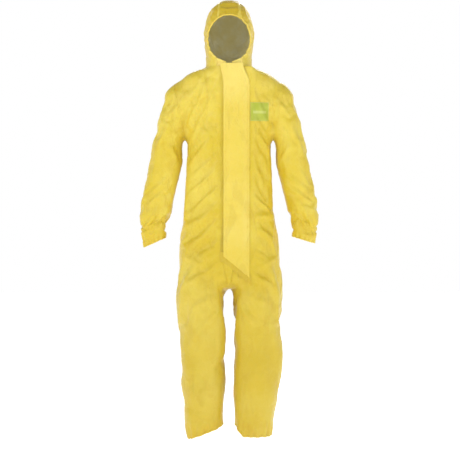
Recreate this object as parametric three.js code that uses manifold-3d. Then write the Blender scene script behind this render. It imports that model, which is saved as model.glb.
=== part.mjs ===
// A chemical protective coverall with a hood, standing as it hangs on its wearer: a one-piece suit of
// coated nonwoven with a zip under a storm flap, inset sleeves and elasticated face, wrists, waist and ankles.
// Millimetres, +Z up, the front facing -Y, so the wearer's left is +X.
// Heights below are above the sole of the wearer's shoe. The exported group is lowered by NECK_HEIGHT,
// which puts its origin in the middle of the neckline, where the wearer's shoulders carry the suit.
import * as THREE from "three";
import { ParametricGeometry } from "three/addons/geometries/ParametricGeometry.js";
import { mergeVertices } from "three/addons/utils/BufferGeometryUtils.js";
import Module from "manifold-3d";

const wasm = await Module();
wasm.setup();

// ---------------------------------------------------------------------------------- driving dimensions
const CLOTH = 3; // wall that stands for the rumpled fabric and the air in it
const SEAM = 0.5; // gap between two pieces that are sewn together
const SQUARE = 2.6; // squareness of the body's section: 2 is an ellipse, more is boxier

const NECK_HEIGHT = 1590;
const WAIST_HEIGHT = 965;
const CROTCH_HEIGHT = 688;

// Joints of the suit. Each one is a drum round its axis: the moving piece stays inside the drum,
// the piece that carries it stays outside, so the two can turn without touching.
const SHOULDER = { x: 190, y: 0, z: 1450, drum: 88, halfDepth: 80 };
const ELBOW = { x: 280, y: 0, z: 1136, drum: 98 };
const HIP = { x: 116, y: 0, z: 687, drum: 128 };
const KNEE = { x: 115, y: 0, z: 460, drum: 136 };
const DRUM_GAP = 2.5; // from the moving piece to the piece round the drum
const ARMHOLE_LOW = 1286; // height of the armpit
const CAP_END = 195; // how far out the body's shoulder reaches over the sleeve

// The front edge is dead straight from crotch to chin, because a zip runs down it.
const ZIP_LOW = 740;
const ZIP_HIGH = 1600;
const FRONT_LOW = 122; // how far the front stands out at ZIP_LOW
const FRONT_HIGH = 110; // and at ZIP_HIGH
const frontAt = (height) =>
  FRONT_LOW + ((FRONT_HIGH - FRONT_LOW) * (height - ZIP_LOW)) / (ZIP_HIGH - ZIP_LOW);
const ZIP_SLOT = 11; // half the width of the opening that the zip closes

// A ring of cloth: [height, centre x, half width, front depth, back depth].
const BODY_RINGS = [
  [690, 217, 116],
  [740, 216, 122],
  [800, 212, 126],
  [885, 201, 118],
  [WAIST_HEIGHT, 190, 108],
  [1080, 180, 112],
  [1180, 170, 118],
  [1286, 160, 122],
  [1370, 176, 122],
  [1450, 198, 119],
  [1505, 213, 112],
  [1543, 204, 104],
  [1562, 176, 98],
  [1578, 136, 93],
  [NECK_HEIGHT, 90, 88],
].map(([height, halfWidth, back]) => [height, 0, halfWidth, frontAt(height), back]);

const UPPER_SLEEVE_RINGS = [
  [1120, 284, 70, 66, 70],
  [1200, 262, 67, 68, 70],
  [1290, 237, 71, 74, 74],
  [1370, 213, 80, 78, 78],
];
const LOWER_SLEEVE_RINGS = [
  [892, 303, 43, 40, 40],
  [925, 307, 52, 50, 48],
  [990, 311, 60, 60, 58],
  [1060, 300, 66, 64, 66],
  [1136, 280, 70, 66, 70],
  [1200, 262, 67, 68, 70],
  [1240, 251, 67, 70, 71],
];
const LEG_RINGS = [
  [108, 101, 64, 72, 78],
  [128, 102, 76, 84, 88],
  [170, 104, 83, 88, 92],
  [260, 108, 88, 90, 93],
  [370, 112, 89, 91, 93],
  [KNEE.z, 115, 90, 92, 94],
  [560, 116, 97, 100, 102],
  [630, 116, 101, 108, 110],
  [687, 116, 102, 116, 116],
  [735, 115, 101, 118, 118],
  [820, 113, 99, 118, 120],
];
const HOOD_RINGS = [
  [1594, 88, 104, 88],
  [1640, 91, 110, 100],
  [1690, 97, 115, 113],
  [1740, 98, 115, 119],
].map(([height, halfWidth, front, back]) => [height, 0, halfWidth, front, back]);
const HOOD_TOP = 1865;

const FACE = { z: 1702, halfWidth: 86, halfHeight: 94, hem: 4 };
const CHIN_HALF = 50; // half the width of the collar under the chin
const HOOD_SEAM = 50; // distance of each hood seam from the middle
const TAPE = { width: 20, thick: 0.8, gap: 0.4 };

// ------------------------------------------------------------------------------------ solids and cuts
function solidOf(geometry) {
  const bare = new THREE.BufferGeometry().setAttribute("position", geometry.getAttribute("position"));
  const merged = mergeVertices(geometry.index ? bare.setIndex(geometry.index) : bare, 1e-3);
  const corners = merged.index.array;
  const kept = [];
  for (let i = 0; i < corners.length; i += 3) {
    const [a, b, c] = corners.slice(i, i + 3);
    if (a !== b && b !== c && c !== a) kept.push(a, b, c);
  }
  return new wasm.Manifold(
    new wasm.Mesh({
      numProp: 3,
      vertProperties: merged.getAttribute("position").array,
      triVerts: new Uint32Array(kept),
    }),
  );
}

function geometryOf(solid) {
  const mesh = solid.getMesh();
  const geometry = new THREE.BufferGeometry();
  geometry.setAttribute("position", new THREE.BufferAttribute(mesh.vertProperties, 3));
  geometry.setIndex(new THREE.BufferAttribute(mesh.triVerts, 1));
  geometry.computeVertexNormals();
  return geometry;
}

// A block between two corners, used as a piece or as a cutter.
function block([x0, x1], [y0, y1], [z0, z1]) {
  const geometry = new THREE.BoxGeometry(x1 - x0, y1 - y0, z1 - z0);
  return solidOf(geometry.translate((x0 + x1) / 2, (y0 + y1) / 2, (z0 + z1) / 2));
}

// A round bar along X or Y through a joint, to cut one side of it or the other.
function drum(joint, radius, axis, halfLength = 400, side = 1) {
  const geometry = new THREE.CylinderGeometry(radius, radius, 2 * halfLength, 48);
  if (axis === "x") geometry.rotateZ(Math.PI / 2);
  return solidOf(geometry.translate(side * joint.x, joint.y, joint.z));
}

const power = (value, exponent) => Math.sign(value) * Math.abs(value) ** exponent;

// Rings of a dome over the last ring, closing at the top height.
function domeOver(rings, top, steps) {
  const [height, x, halfWidth, front, back] = rings.at(-1);
  const dome = [];
  for (let step = 1; step <= steps; step++) {
    const rise = Math.sin((Math.PI / 2) * (step / steps));
    const share = step === steps ? 0 : (1 - rise ** 2.2) ** (1 / 2.2);
    dome.push([height + rise * (top - height), x, halfWidth * share, front * share, back * share]);
  }
  return [...rings, ...dome];
}

// A wall of cloth that follows the rings. It is one closed surface: v climbs the outside and comes back
// down the inside. grow moves the outside outwards, for a tape that lies on another wall.
function clothTube(rings, { wall = CLOTH, grow = 0, side = 1, sides = 36, square = SQUARE } = {}) {
  const climb = rings.map((_, index) => [index, grow]);
  const path = [...climb, ...climb.map(([index]) => [index, grow - wall]).reverse()];
  const topless = rings.at(-1)[2] === 0;
  const place = (u, v, target) => {
    const [index, offset] = path[Math.round(v * path.length) % path.length];
    const turn = ((Math.round(u * sides) % sides) / sides) * 2 * Math.PI;
    const [height, x, halfWidth, front, back] = rings[index];
    const across = power(Math.cos(turn), 2 / square);
    const deep = power(Math.sin(turn), 2 / square);
    const depth = (deep < 0 ? front : back) + offset;
    const closed = topless && index === rings.length - 1;
    target.set(
      side * x + (closed ? 0 : (halfWidth + offset) * across),
      closed ? 0 : depth * deep,
      height + (topless && index > 0 ? (offset * index) / (rings.length - 1) : 0),
    );
  };
  const solid = solidOf(new ParametricGeometry(place, sides, path.length));
  return solid.volume() > 0 ? solid : solidOf(flipped(new ParametricGeometry(place, sides, path.length)));
}

// The same surface with its faces turned round.
function flipped(geometry) {
  const order = geometry.index.array;
  for (let i = 0; i < order.length; i += 3) [order[i + 1], order[i + 2]] = [order[i + 2], order[i + 1]];
  return geometry;
}

// ------------------------------------------------------------------------------------------ materials
const paint = (color, roughness, metalness = 0) =>
  new THREE.MeshStandardMaterial({ color, roughness, metalness });
const FINISH = {
  cloth: paint(0xf2d22e, 0.45),
  tape: paint(0xf4d63a, 0.3),
  elastic: paint(0xe9e4d2, 0.8),
  zip: paint(0xe6c92c, 0.6),
  coil: paint(0xe0c42a, 0.4),
  metal: paint(0xd8b92a, 0.35, 0.4),
  label: paint(0xa6c83c, 0.5),
  white: paint(0xf4f4ee, 0.7),
  adhesive: paint(0xf3ead0, 0.35),
};

function piece(name, solid, material) {
  const mesh = new THREE.Mesh(geometryOf(solid), material);
  mesh.name = name;
  return mesh;
}

const SIDES = [
  ["left", 1],
  ["right", -1],
];
const ALL = [-600, 600]; // a stretch that clears the whole suit
const outward = (side, near, far) => (side > 0 ? [near, far] : [-far, -near]);

// ----------------------------------------------------------------------------------------- body panels
function armholeCutter(side) {
  const { x, z, drum: radius, halfDepth } = SHOULDER;
  const deep = halfDepth + 4;
  const round = drum(SHOULDER, radius + DRUM_GAP + 2, "y", deep, side);
  const under = block(outward(side, x - radius + 20, 400), [-deep, deep], [ARMHOLE_LOW, z]);
  const over = block(outward(side, CAP_END, 400), ALL, [z, 1700]);
  return round.add(under).add(over);
}

function bodyPanels() {
  const panels = new THREE.Group();
  const whole = clothTube(BODY_RINGS)
    .subtract(armholeCutter(1))
    .subtract(armholeCutter(-1))
    .subtract(drum(HIP, HIP.drum + DRUM_GAP, "x", 400, 0))
    .subtract(block([-ZIP_SLOT - SEAM, ZIP_SLOT + SEAM], [-200, 0], [600, 1700]))
    .subtract(block([-13, 13], ALL, [600, 760]))
    .subtract(block(ALL, ALL, [600, 700]));
  for (const [name, side] of SIDES) {
    const half = outward(side, SEAM, 600);
    const front = whole.intersect(block(half, [-300, -SEAM], [600, 1700]));
    const back = whole.intersect(block(half, [SEAM, 300], [600, 1700]));
    panels.add(piece(`${name}_front_panel`, front, FINISH.cloth));
    panels.add(piece(`${name}_back_panel`, back, FINISH.cloth));
  }
  return panels;
}

// Tape welded over the outside of each body seam.
function bodySeamTapes() {
  const tapes = new THREE.Group();
  const half = TAPE.width / 2;
  const skin = clothTube(BODY_RINGS, { wall: TAPE.thick, grow: TAPE.gap + TAPE.thick });
  for (const [name, side] of SIDES) {
    const sideSeam = block(outward(side, 20, 400), [-half, half], [820, ARMHOLE_LOW - 4]);
    const shoulderSeam = block(outward(side, 96, CAP_END - 2), [-half, half], [1546, 1640]);
    tapes.add(piece(`${name}_side_seam_tape`, skin.intersect(sideSeam), FINISH.tape));
    tapes.add(piece(`${name}_shoulder_seam_tape`, skin.intersect(shoulderSeam), FINISH.tape));
  }
  const centre = block([-half, half], [20, 300], [775, 1582]);
  tapes.add(piece("centre_back_seam_tape", skin.intersect(centre), FINISH.tape));
  return tapes;
}

// A strap of cloth under the crotch, from the bottom of the zip to the centre back seam.
function crotchGusset() {
  const [halfWidth, deep, high] = [12, 116, 760];
  const drop = high - CROTCH_HEIGHT;
  const outline = new THREE.Shape();
  outline.absellipse(0, high, deep, drop, Math.PI, 2 * Math.PI, false);
  outline.absellipse(0, high, deep - CLOTH, drop - CLOTH, 2 * Math.PI, Math.PI, true);
  const geometry = new THREE.ExtrudeGeometry(outline, {
    depth: 2 * halfWidth,
    bevelEnabled: false,
    curveSegments: 12,
  });
  geometry.rotateX(Math.PI / 2).rotateZ(Math.PI / 2).translate(-halfWidth, 0, 0);
  return piece("crotch_gusset", solidOf(geometry), FINISH.cloth);
}

// The elastic that draws in the back of the waist, bonded inside the back panels.
function waistElastic() {
  const inside = clothTube(BODY_RINGS, { wall: 1.5, grow: -CLOTH - SEAM });
  const band = block(ALL, [12, 300], [WAIST_HEIGHT - 14, WAIST_HEIGHT + 14]);
  return piece("waist_elastic", inside.intersect(band), FINISH.elastic);
}

// ------------------------------------------------------------------------------------ zip and its flap
// The zip's own frame: Z up along the chain, Y = 0 on the outer face of the cloth, -Y outwards.
function zipFrame() {
  const frame = new THREE.Group();
  frame.position.set(0, -frontAt(ZIP_LOW), ZIP_LOW);
  frame.rotation.x = -Math.atan2(FRONT_LOW - FRONT_HIGH, ZIP_HIGH - ZIP_LOW);
  return frame;
}
const ZIP_LENGTH = Math.hypot(ZIP_HIGH - ZIP_LOW, FRONT_LOW - FRONT_HIGH);
const COIL = { near: 0.2, far: 2.6 };
const SLIDER = { length: 14, halfWidth: 4.6, lowRest: 14, highRest: ZIP_LENGTH - 22 };

function zipChain() {
  const chain = new THREE.Group();
  const run = [4, ZIP_LENGTH - 4];
  for (const [name, side] of SIDES) {
    const tape = block(outward(side, COIL.far + 0.4, ZIP_SLOT - 0.3), [0.8, 1.8], run);
    const coil = block(outward(side, COIL.near, COIL.far), [0.2, 2.6], run);
    const stop = block(outward(side, COIL.near, COIL.far), [-1.4, 2.6], [run[1] + 0.4, run[1] + 4]);
    chain.add(piece(`${name}_zip_tape`, tape, FINISH.zip));
    chain.add(piece(`${name}_zip_coil`, coil, FINISH.coil));
    chain.add(piece(`${name}_zip_top_stop`, stop, FINISH.metal));
  }
  const foot = block([-COIL.far, COIL.far], [-1.4, 2.6], [-0.4, run[0] - 0.4]);
  chain.add(piece("zip_bottom_stop", foot, FINISH.metal));
  const guard = block([-22, 22], [CLOTH + 0.9, CLOTH + 2.4], [24, ZIP_LENGTH - 24]);
  chain.add(piece("inner_zip_guard", guard, FINISH.cloth));
  return chain;
}

// A slider straddles the coils from the front, with a headed stud that its pull tab hangs on.
function slider(name, low) {
  const { halfWidth, length } = SLIDER;
  const plate = block([-halfWidth, halfWidth], [-2.4, -0.3], [low, low + length]);
  const legs = [1, -1].map((side) => block(outward(side, 3.4, halfWidth), [-1, 0.4], [low, low + length]));
  const pin = new THREE.CylinderGeometry(1.6, 1.6, 3, 12).translate(0, -3.3, low + length / 2);
  const head = new THREE.CylinderGeometry(2.8, 2.8, 0.8, 12).translate(0, -4.8, low + length / 2);
  const solid = plate.add(legs[0]).add(legs[1]).add(solidOf(pin)).add(solidOf(head));
  return piece(name, solid, FINISH.metal);
}

function pullTab(name, low) {
  const [reach, halfWidth, thick] = [25, 3.6, 1.1];
  const outline = new THREE.Shape();
  outline.absarc(0, 0, halfWidth, 0, Math.PI, false);
  outline.absarc(0, -reach, halfWidth, Math.PI, 2 * Math.PI, false);
  outline.holes.push(new THREE.Path().absarc(0, 0, 1.95, 0, 2 * Math.PI, true));
  outline.holes.push(new THREE.Path().absellipse(0, -reach + 3, 1.6, 4.5, 0, 2 * Math.PI, true));
  const plate = new THREE.ExtrudeGeometry(outline, { depth: thick, bevelEnabled: false, curveSegments: 8 });
  plate.rotateX(Math.PI / 2).translate(0, -2.8, low + SLIDER.length / 2);
  return piece(name, solidOf(plate), FINISH.metal);
}

// The outer flap is sewn to the wearer's left front and closes over the zip, down to a slanting tail.
const FLAP = { hinge: 82, free: -22, back: -7.2, sewn: 1.5, bend: 58, thick: 2 };
function stormFlap() {
  const { hinge, free, back, sewn, bend, thick } = FLAP;
  const plan = new THREE.Shape();
  plan.moveTo(hinge, sewn);
  plan.lineTo(bend, back);
  plan.lineTo(free - 20, back);
  plan.lineTo(free - 20, back - thick);
  plan.lineTo(bend, back - thick);
  plan.lineTo(hinge, sewn - thick);
  const outline = new THREE.Shape();
  outline.moveTo(hinge + 1, 4);
  outline.lineTo(hinge + 1, 770);
  outline.lineTo(54, ZIP_LENGTH);
  outline.lineTo(-34, ZIP_LENGTH);
  outline.lineTo(free, 780);
  outline.lineTo(free, 88);
  const sheet = solidOf(new THREE.ExtrudeGeometry(plan, { depth: ZIP_LENGTH, bevelEnabled: false }));
  const cutter = new THREE.ExtrudeGeometry(outline, { depth: 40, bevelEnabled: false });
  cutter.rotateX(Math.PI / 2).translate(0, 15, 0);
  return piece("storm_flap", sheet.intersect(solidOf(cutter)), FINISH.cloth);
}

function flapAdhesive() {
  const strip = block([FLAP.free + 2, FLAP.free + 14], [FLAP.back + 0.4, FLAP.back + 1.2], [110, 770]);
  return piece("flap_adhesive_tape", strip, FINISH.adhesive);
}

function zipAssembly() {
  const frame = zipFrame();
  frame.add(zipChain(), stormFlap(), flapAdhesive());
  for (const [name, low] of [["upper", SLIDER.highRest], ["lower", SLIDER.lowRest]]) {
    frame.add(slider(`${name}_zip_slider`, low), pullTab(`${name}_pull_tab`, low));
  }
  return frame;
}

// -------------------------------------------------------------------------------------------- labels
function labels() {
  const group = new THREE.Group();
  const breast = block([88, 158], [-200, 0], [1373, 1447]);
  const patch = clothTube(BODY_RINGS, { wall: 1, grow: 1.4 }).intersect(breast);
  const size = piece("size_label", block([-22, 22], [-0.4, 0.4], [-16, 16]), FINISH.white);
  size.position.set(0, 86, 1556);
  size.rotation.x = THREE.MathUtils.degToRad(20);
  group.add(piece("chest_label", patch, FINISH.label), size);
  return group;
}

// ------------------------------------------------------------------------------------ hood and collar
// Where the hood's outer face is, at a place across it and a height on its front.
function hoodFront(x, height) {
  const above = HOOD_RINGS.findIndex((ring) => ring[0] > height);
  const [low, high] = above > 0 ? [HOOD_RINGS[above - 1], HOOD_RINGS[above]] : [HOOD_RINGS.at(-1), null];
  let [halfWidth, front] = [low[2], low[3]];
  if (high) {
    const share = (height - low[0]) / (high[0] - low[0]);
    halfWidth += share * (high[2] - low[2]);
    front += share * (high[3] - low[3]);
  } else {
    const shrink = (1 - ((height - low[0]) / (HOOD_TOP - low[0])) ** 2.2) ** (1 / 2.2);
    halfWidth *= shrink;
    front *= shrink;
  }
  return -front * (1 - (Math.abs(x) / halfWidth) ** SQUARE) ** (1 / SQUARE);
}

function hood() {
  const group = new THREE.Group();
  const rings = domeOver(HOOD_RINGS, HOOD_TOP, 7);
  const clear = FACE.hem + 0.8;
  const oval = new THREE.Shape().absellipse(0, FACE.z, FACE.halfWidth + clear, FACE.halfHeight + clear, 0, 2 * Math.PI);
  const window = new THREE.ExtrudeGeometry(oval, { depth: 200, bevelEnabled: false, curveSegments: 24 });
  window.rotateX(Math.PI / 2).translate(0, -12, 0);
  const faceCut = solidOf(window).add(block([-CHIN_HALF - 2, CHIN_HALF + 2], [-212, -12], [1580, 1660]));
  const cloth = clothTube(rings, { sides: 32 }).subtract(faceCut);
  const middle = block([-HOOD_SEAM + SEAM, HOOD_SEAM - SEAM], ALL, [1500, 1900]);
  group.add(piece("hood_centre_panel", cloth.intersect(middle).decompose()[0], FINISH.cloth));
  const tape = clothTube(rings, { wall: TAPE.thick, grow: TAPE.gap + TAPE.thick, sides: 32 }).subtract(faceCut);
  for (const [name, side] of SIDES) {
    const flank = block(outward(side, HOOD_SEAM + SEAM, 300), ALL, [1500, 1900]);
    const strip = block(outward(side, HOOD_SEAM - 8, HOOD_SEAM + 8), ALL, [1500, 1900]);
    group.add(piece(`hood_${name}_panel`, cloth.intersect(flank), FINISH.cloth));
    const over = tape.intersect(strip).decompose().sort((a, b) => b.volume() - a.volume())[0];
    group.add(piece(`hood_${name}_seam_tape`, over, FINISH.tape));
  }
  return group;
}

// The elasticated hem round the face, from one collar tip over the brow to the other.
function faceHem() {
  const path = new THREE.Curve();
  const lowest = Math.acos(-70 / FACE.halfHeight);
  path.getPoint = (share, target = new THREE.Vector3()) => {
    const turn = lowest * (2 * share - 1);
    const x = FACE.halfWidth * Math.sin(turn);
    const height = FACE.z + FACE.halfHeight * Math.cos(turn);
    return target.set(x, hoodFront(x, height) + CLOTH / 2, height);
  };
  const section = new THREE.Shape().absarc(0, 0, FACE.hem, 0, 2 * Math.PI);
  const geometry = new THREE.ExtrudeGeometry(section, { extrudePath: path, steps: 36, curveSegments: 4 });
  return piece("face_hem", solidOf(geometry), FINISH.cloth);
}

// The collar closes the neck under the chin; its points stand up on each side of the zip.
function collar() {
  const group = new THREE.Group();
  const rings = [
    [NECK_HEIGHT + 2, 0, 90, 110, 88],
    [NECK_HEIGHT + 32, 0, 89, 109.5, 90],
  ];
  const band = clothTube(rings, { sides: 32 });
  for (const [name, side] of SIDES) {
    const point = new THREE.Shape();
    point.moveTo(side * (ZIP_SLOT + SEAM), NECK_HEIGHT);
    point.lineTo(side * (CHIN_HALF - 1), NECK_HEIGHT);
    point.lineTo(side * (CHIN_HALF - 5), NECK_HEIGHT + 32);
    point.lineTo(side * (ZIP_SLOT + SEAM), NECK_HEIGHT + 19);
    const cutter = new THREE.ExtrudeGeometry(point, { depth: 200, bevelEnabled: false });
    cutter.rotateX(Math.PI / 2).translate(0, -20, 0);
    group.add(piece(`${name}_collar`, band.intersect(solidOf(cutter)), FINISH.cloth));
  }
  return group;
}

// ------------------------------------------------------------------------------------------- sleeves
function elasticRing(name, [height, x, halfWidth, front, back], tall, side) {
  const ring = (z) => [z, x, halfWidth, front, back];
  const rings = [ring(height), ring(height + tall)];
  const band = clothTube(rings, { wall: 1.5, grow: -CLOTH - SEAM, side, sides: 20, square: 2.2 });
  return piece(name, band, FINISH.elastic);
}

function hemRing(name, [height, x, halfWidth, front, back], tall, side) {
  const swell = 1.5;
  const rings = [0, 0.5, 1].map((share) => {
    const out = share === 0.5 ? swell : 0;
    return [height - tall - SEAM + share * tall, x, halfWidth + out, front + out, back + out];
  });
  return piece(name, clothTube(rings, { side, sides: 20, square: 2.2 }), FINISH.cloth);
}

function sleeve(name, side) {
  const group = new THREE.Group();
  const tube = { side, sides: 24, square: 2.2 };
  const { x, z, drum: radius, halfDepth } = SHOULDER;
  const head = domeOver([[z, x, radius, halfDepth, halfDepth]], z + radius, 5);
  const reach = drum(ELBOW, ELBOW.drum + DRUM_GAP, "x", 600, 0);
  const armOpening = new THREE.CylinderGeometry(62, 62, 120, 24);
  armOpening.rotateZ(Math.PI / 2).translate(side * (x - 70), 0, z - 8);
  const upper = clothTube([...UPPER_SLEEVE_RINGS, ...head], tube)
    .subtract(reach)
    .subtract(block(ALL, ALL, [900, ELBOW.z + 20]))
    .subtract(solidOf(armOpening));
  group.add(piece(`${name}_upper_sleeve`, upper, FINISH.cloth));

  const inside = drum(ELBOW, ELBOW.drum, "x", 600, 0).add(block(ALL, ALL, [800, ELBOW.z]));
  const lower = clothTube(LOWER_SLEEVE_RINGS, tube).intersect(inside);
  group.add(piece(`${name}_lower_sleeve`, lower, FINISH.cloth));

  const wrist = LOWER_SLEEVE_RINGS[0];
  group.add(hemRing(`${name}_cuff_hem`, wrist, 22, side));
  group.add(elasticRing(`${name}_wrist_elastic`, [wrist[0] - 18, ...wrist.slice(1)], 14, side));
  return group;
}

// ---------------------------------------------------------------------------------------------- legs
function leg(name, side) {
  const group = new THREE.Group();
  const tube = clothTube(LEG_RINGS, { side, sides: 24, square: 2.8 });
  const crotch = block(outward(side, 0, 60), [-88, 88], [CROTCH_HEIGHT, 900]);
  const belowHip = drum(HIP, HIP.drum, "x", 600, 0).add(block(ALL, ALL, [0, HIP.z]));
  const kneeHole = drum(KNEE, KNEE.drum + DRUM_GAP, "x", 600, 0).add(block(ALL, ALL, [0, KNEE.z + 20]));
  const thigh = tube.intersect(belowHip).subtract(kneeHole).subtract(crotch);
  group.add(piece(`${name}_upper_leg`, thigh, FINISH.cloth));

  const belowKnee = drum(KNEE, KNEE.drum, "x", 600, 0).add(block(ALL, ALL, [0, KNEE.z]));
  group.add(piece(`${name}_lower_leg`, tube.intersect(belowKnee), FINISH.cloth));

  const ankle = LEG_RINGS[0];
  group.add(hemRing(`${name}_ankle_hem`, ankle, 22, side));
  group.add(elasticRing(`${name}_ankle_elastic`, [ankle[0] - 18, ...ankle.slice(1)], 14, side));
  return group;
}

// ----------------------------------------------------------------------------------------- whole suit
const body = new THREE.Group();
body.add(bodyPanels(), bodySeamTapes(), crotchGusset(), waistElastic(), zipAssembly());
body.add(labels(), hood(), faceHem(), collar());
for (const [name, side] of SIDES) body.add(sleeve(name, side), leg(name, side));
body.position.z = -NECK_HEIGHT;

const suit = new THREE.Group();
suit.add(body);
export default suit;
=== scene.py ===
# %% [markdown]
# # A hooded chemical protective coverall
# The real suit is cut from one thin yellow nonwoven with a film coating. It is rebuilt here as it hangs
# on its wearer: cloth first, then what is sewn and welded to it, then the finishes, the light and the
# camera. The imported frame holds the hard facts, which are where each piece sits and what turns about
# what.

# %% Load the frame
import math
import time

import bmesh
import bpy
import numpy as np
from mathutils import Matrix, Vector, noise
from mathutils.bvhtree import BVHTree


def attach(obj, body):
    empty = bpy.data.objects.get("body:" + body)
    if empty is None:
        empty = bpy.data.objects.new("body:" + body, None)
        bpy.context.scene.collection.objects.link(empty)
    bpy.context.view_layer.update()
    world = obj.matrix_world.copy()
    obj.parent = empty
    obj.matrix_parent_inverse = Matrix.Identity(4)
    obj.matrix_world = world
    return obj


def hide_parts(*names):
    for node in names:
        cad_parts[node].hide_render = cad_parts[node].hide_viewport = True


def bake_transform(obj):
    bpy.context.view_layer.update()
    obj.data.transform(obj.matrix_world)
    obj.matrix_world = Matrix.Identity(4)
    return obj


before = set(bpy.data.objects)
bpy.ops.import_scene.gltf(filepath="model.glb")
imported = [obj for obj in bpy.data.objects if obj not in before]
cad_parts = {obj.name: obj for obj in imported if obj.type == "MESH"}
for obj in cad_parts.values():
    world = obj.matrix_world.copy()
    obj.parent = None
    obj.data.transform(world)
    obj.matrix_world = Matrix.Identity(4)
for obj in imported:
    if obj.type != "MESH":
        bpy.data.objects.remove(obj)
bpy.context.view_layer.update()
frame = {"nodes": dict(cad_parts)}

nodes = frame["nodes"]
SIDES = (("left", 1), ("right", -1))

# %% [markdown]
# ## Measures
# Tailors think in heights above the floor, so the sections below are heights above the sole in
# millimetres, and one small function turns them into the frame's metres, whose origin is the middle of
# the neckline.

# %% Heights and the straight front edge
NECK = 1590
WAIST = 965


def level(height):
    """A height above the sole, in millimetres, as the frame's z in metres."""
    return (height - NECK) / 1000


def zip_plane(z):
    """The y of the straight front edge, which the zip follows, at a z of the frame."""
    share = (z - level(740)) / (level(1600) - level(740))
    return -(0.122 - 0.012 * share)


# %% [markdown]
# ## The sections of the suit
# Each part of the body is a loft through a few rings. A ring is a height, a centre, a half width and a
# depth to the front and to the back, and its outline is a superellipse, which is an ellipse made a little
# squarer.

# %% Rings of the trunk, legs, sleeves and hood
TRUNK = [
    (712, 0, 216, 112, 112), (756, 0, 215, 122, 122), (800, 0, 209, 121, 126), (885, 0, 201, 120, 118),
    (930, 0, 194, 120, 113), (WAIST, 0, 186, 119, 106), (1000, 0, 183, 118, 110),
    (1080, 0, 175, 117, 113), (1180, 0, 170, 116, 118), (1286, 0, 170, 114.5, 122),
    (1370, 0, 180, 113, 122), (1450, 0, 196, 112, 119), (1505, 0, 204, 111.5, 112),
    (1540, 0, 194, 110, 105), (1560, 0, 176, 108, 98), (1578, 0, 138, 110, 93),
    (1590, 0, 94, 110, 88.5), (1612, 0, 90, 109, 88),
]
LEG = [
    (60, 101, 76, 78, 84), (84, 101, 77, 78, 84), (106, 102, 78, 80, 86), (130, 103, 80, 84, 89),
    (170, 104, 82, 88, 92), (260, 107, 86, 90, 93), (370, 111, 88, 91, 93), (460, 115, 90, 93, 95),
    (560, 116, 95, 101, 103), (630, 116, 100, 108, 110), (700, 115, 101, 116, 114),
    (760, 112, 96, 116, 116),
]
SLEEVE = [
    (850, 305, 46, 43, 43), (872, 306, 46, 43, 43), (892, 308, 47, 43, 43), (912, 309, 52, 48, 47),
    (940, 311, 57, 53, 52), (990, 311, 61, 60, 58), (1060, 301, 65, 64, 65), (1136, 283, 67, 66, 69),
    (1210, 265, 70, 69, 71), (1283, 255, 65, 74, 75), (1332, 238, 66, 78, 78), (1382, 221, 70, 79, 79),
    (1450, 188, 75, 79, 79),
]
HOOD = [
    (1580, 0, 97, 113, 93), (1600, 0, 95, 111, 93), (1640, 0, 92, 111, 101), (1690, 0, 96, 115, 113),
    (1740, 0, 98, 115, 119),
]


def dome(rings, top, steps=9):
    """The rings again, closed above by a rounded crown."""
    height, x, width, front, back = rings[-1]
    for step in range(1, steps + 1):
        rise = math.sin(math.pi / 2 * step / steps)
        share = max(0.03, (1 - rise**2.1) ** (1 / 2.1))
        rings = rings + [(height + rise * (top - height), x, width * share, front * share, back * share)]
    return rings


def smooth_rings(rings, steps=4):
    """More rings in between, on a curve through the given ones."""
    table = np.array(rings, float)
    out = []
    for i in range(len(table) - 1):
        before, after = table[max(i - 1, 0)], table[min(i + 2, len(table) - 1)]
        for t in np.arange(steps) / steps:
            a, b = table[i], table[i + 1]
            m0, m1 = (b - before) / 2 * 0.8, (after - a) / 2 * 0.8
            out.append((2*t**3 - 3*t**2 + 1) * a + (t**3 - 2*t**2 + t) * m0
                       + (3*t**2 - 2*t**3) * b + (t**3 - t**2) * m1)
    return out + [table[-1]]


def loft(name, rings, square, side=1, inset=0.0, sides=64):
    """A closed solid through the rings, drawn in by inset millimetres."""
    points, faces = [], []
    turns = np.arange(sides) / sides * 2 * math.pi
    across = np.sign(np.cos(turns)) * np.abs(np.cos(turns)) ** (2 / square)
    deep = np.sign(np.sin(turns)) * np.abs(np.sin(turns)) ** (2 / square)
    for height, x, width, front, back in rings:
        depth = np.where(deep < 0, max(front - inset, 2), max(back - inset, 2))
        for a, d in zip(across * max(width - inset, 2), deep * depth):
            points.append(((side * x + a) / 1000, d / 1000, level(height)))
    for row in range(len(rings) - 1):
        for k in range(sides):
            n = (k + 1) % sides
            faces.append((row*sides + k, row*sides + n, (row+1)*sides + n, (row+1)*sides + k))
    faces.append(tuple(reversed(range(sides))))
    faces.append(tuple(range((len(rings) - 1) * sides, len(rings) * sides)))
    mesh = bpy.data.meshes.new(name)
    mesh.from_pydata(points, [], faces)
    made = bpy.data.objects.new(name, mesh)
    bpy.context.scene.collection.objects.link(made)
    return made


# %% [markdown]
# ## One skin from several solids
# Cloth simulation wants an even net. Joining the lofts and remeshing them into small equal cells gives
# that, and it melts the legs into the trunk without a seam, as a tailor's dummy would be.

# %% Join and remesh
def join(objects, name):
    """Several mesh objects as one."""
    verts, faces, offset = [], [], 0
    for o in objects:
        verts += [tuple(v.co) for v in o.data.vertices]
        faces += [tuple(i + offset for i in p.vertices) for p in o.data.polygons]
        offset = len(verts)
        bpy.data.objects.remove(o)
    mesh = bpy.data.meshes.new(name)
    mesh.from_pydata(verts, [], faces)
    made = bpy.data.objects.new(name, mesh)
    bpy.context.scene.collection.objects.link(made)
    return made


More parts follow.
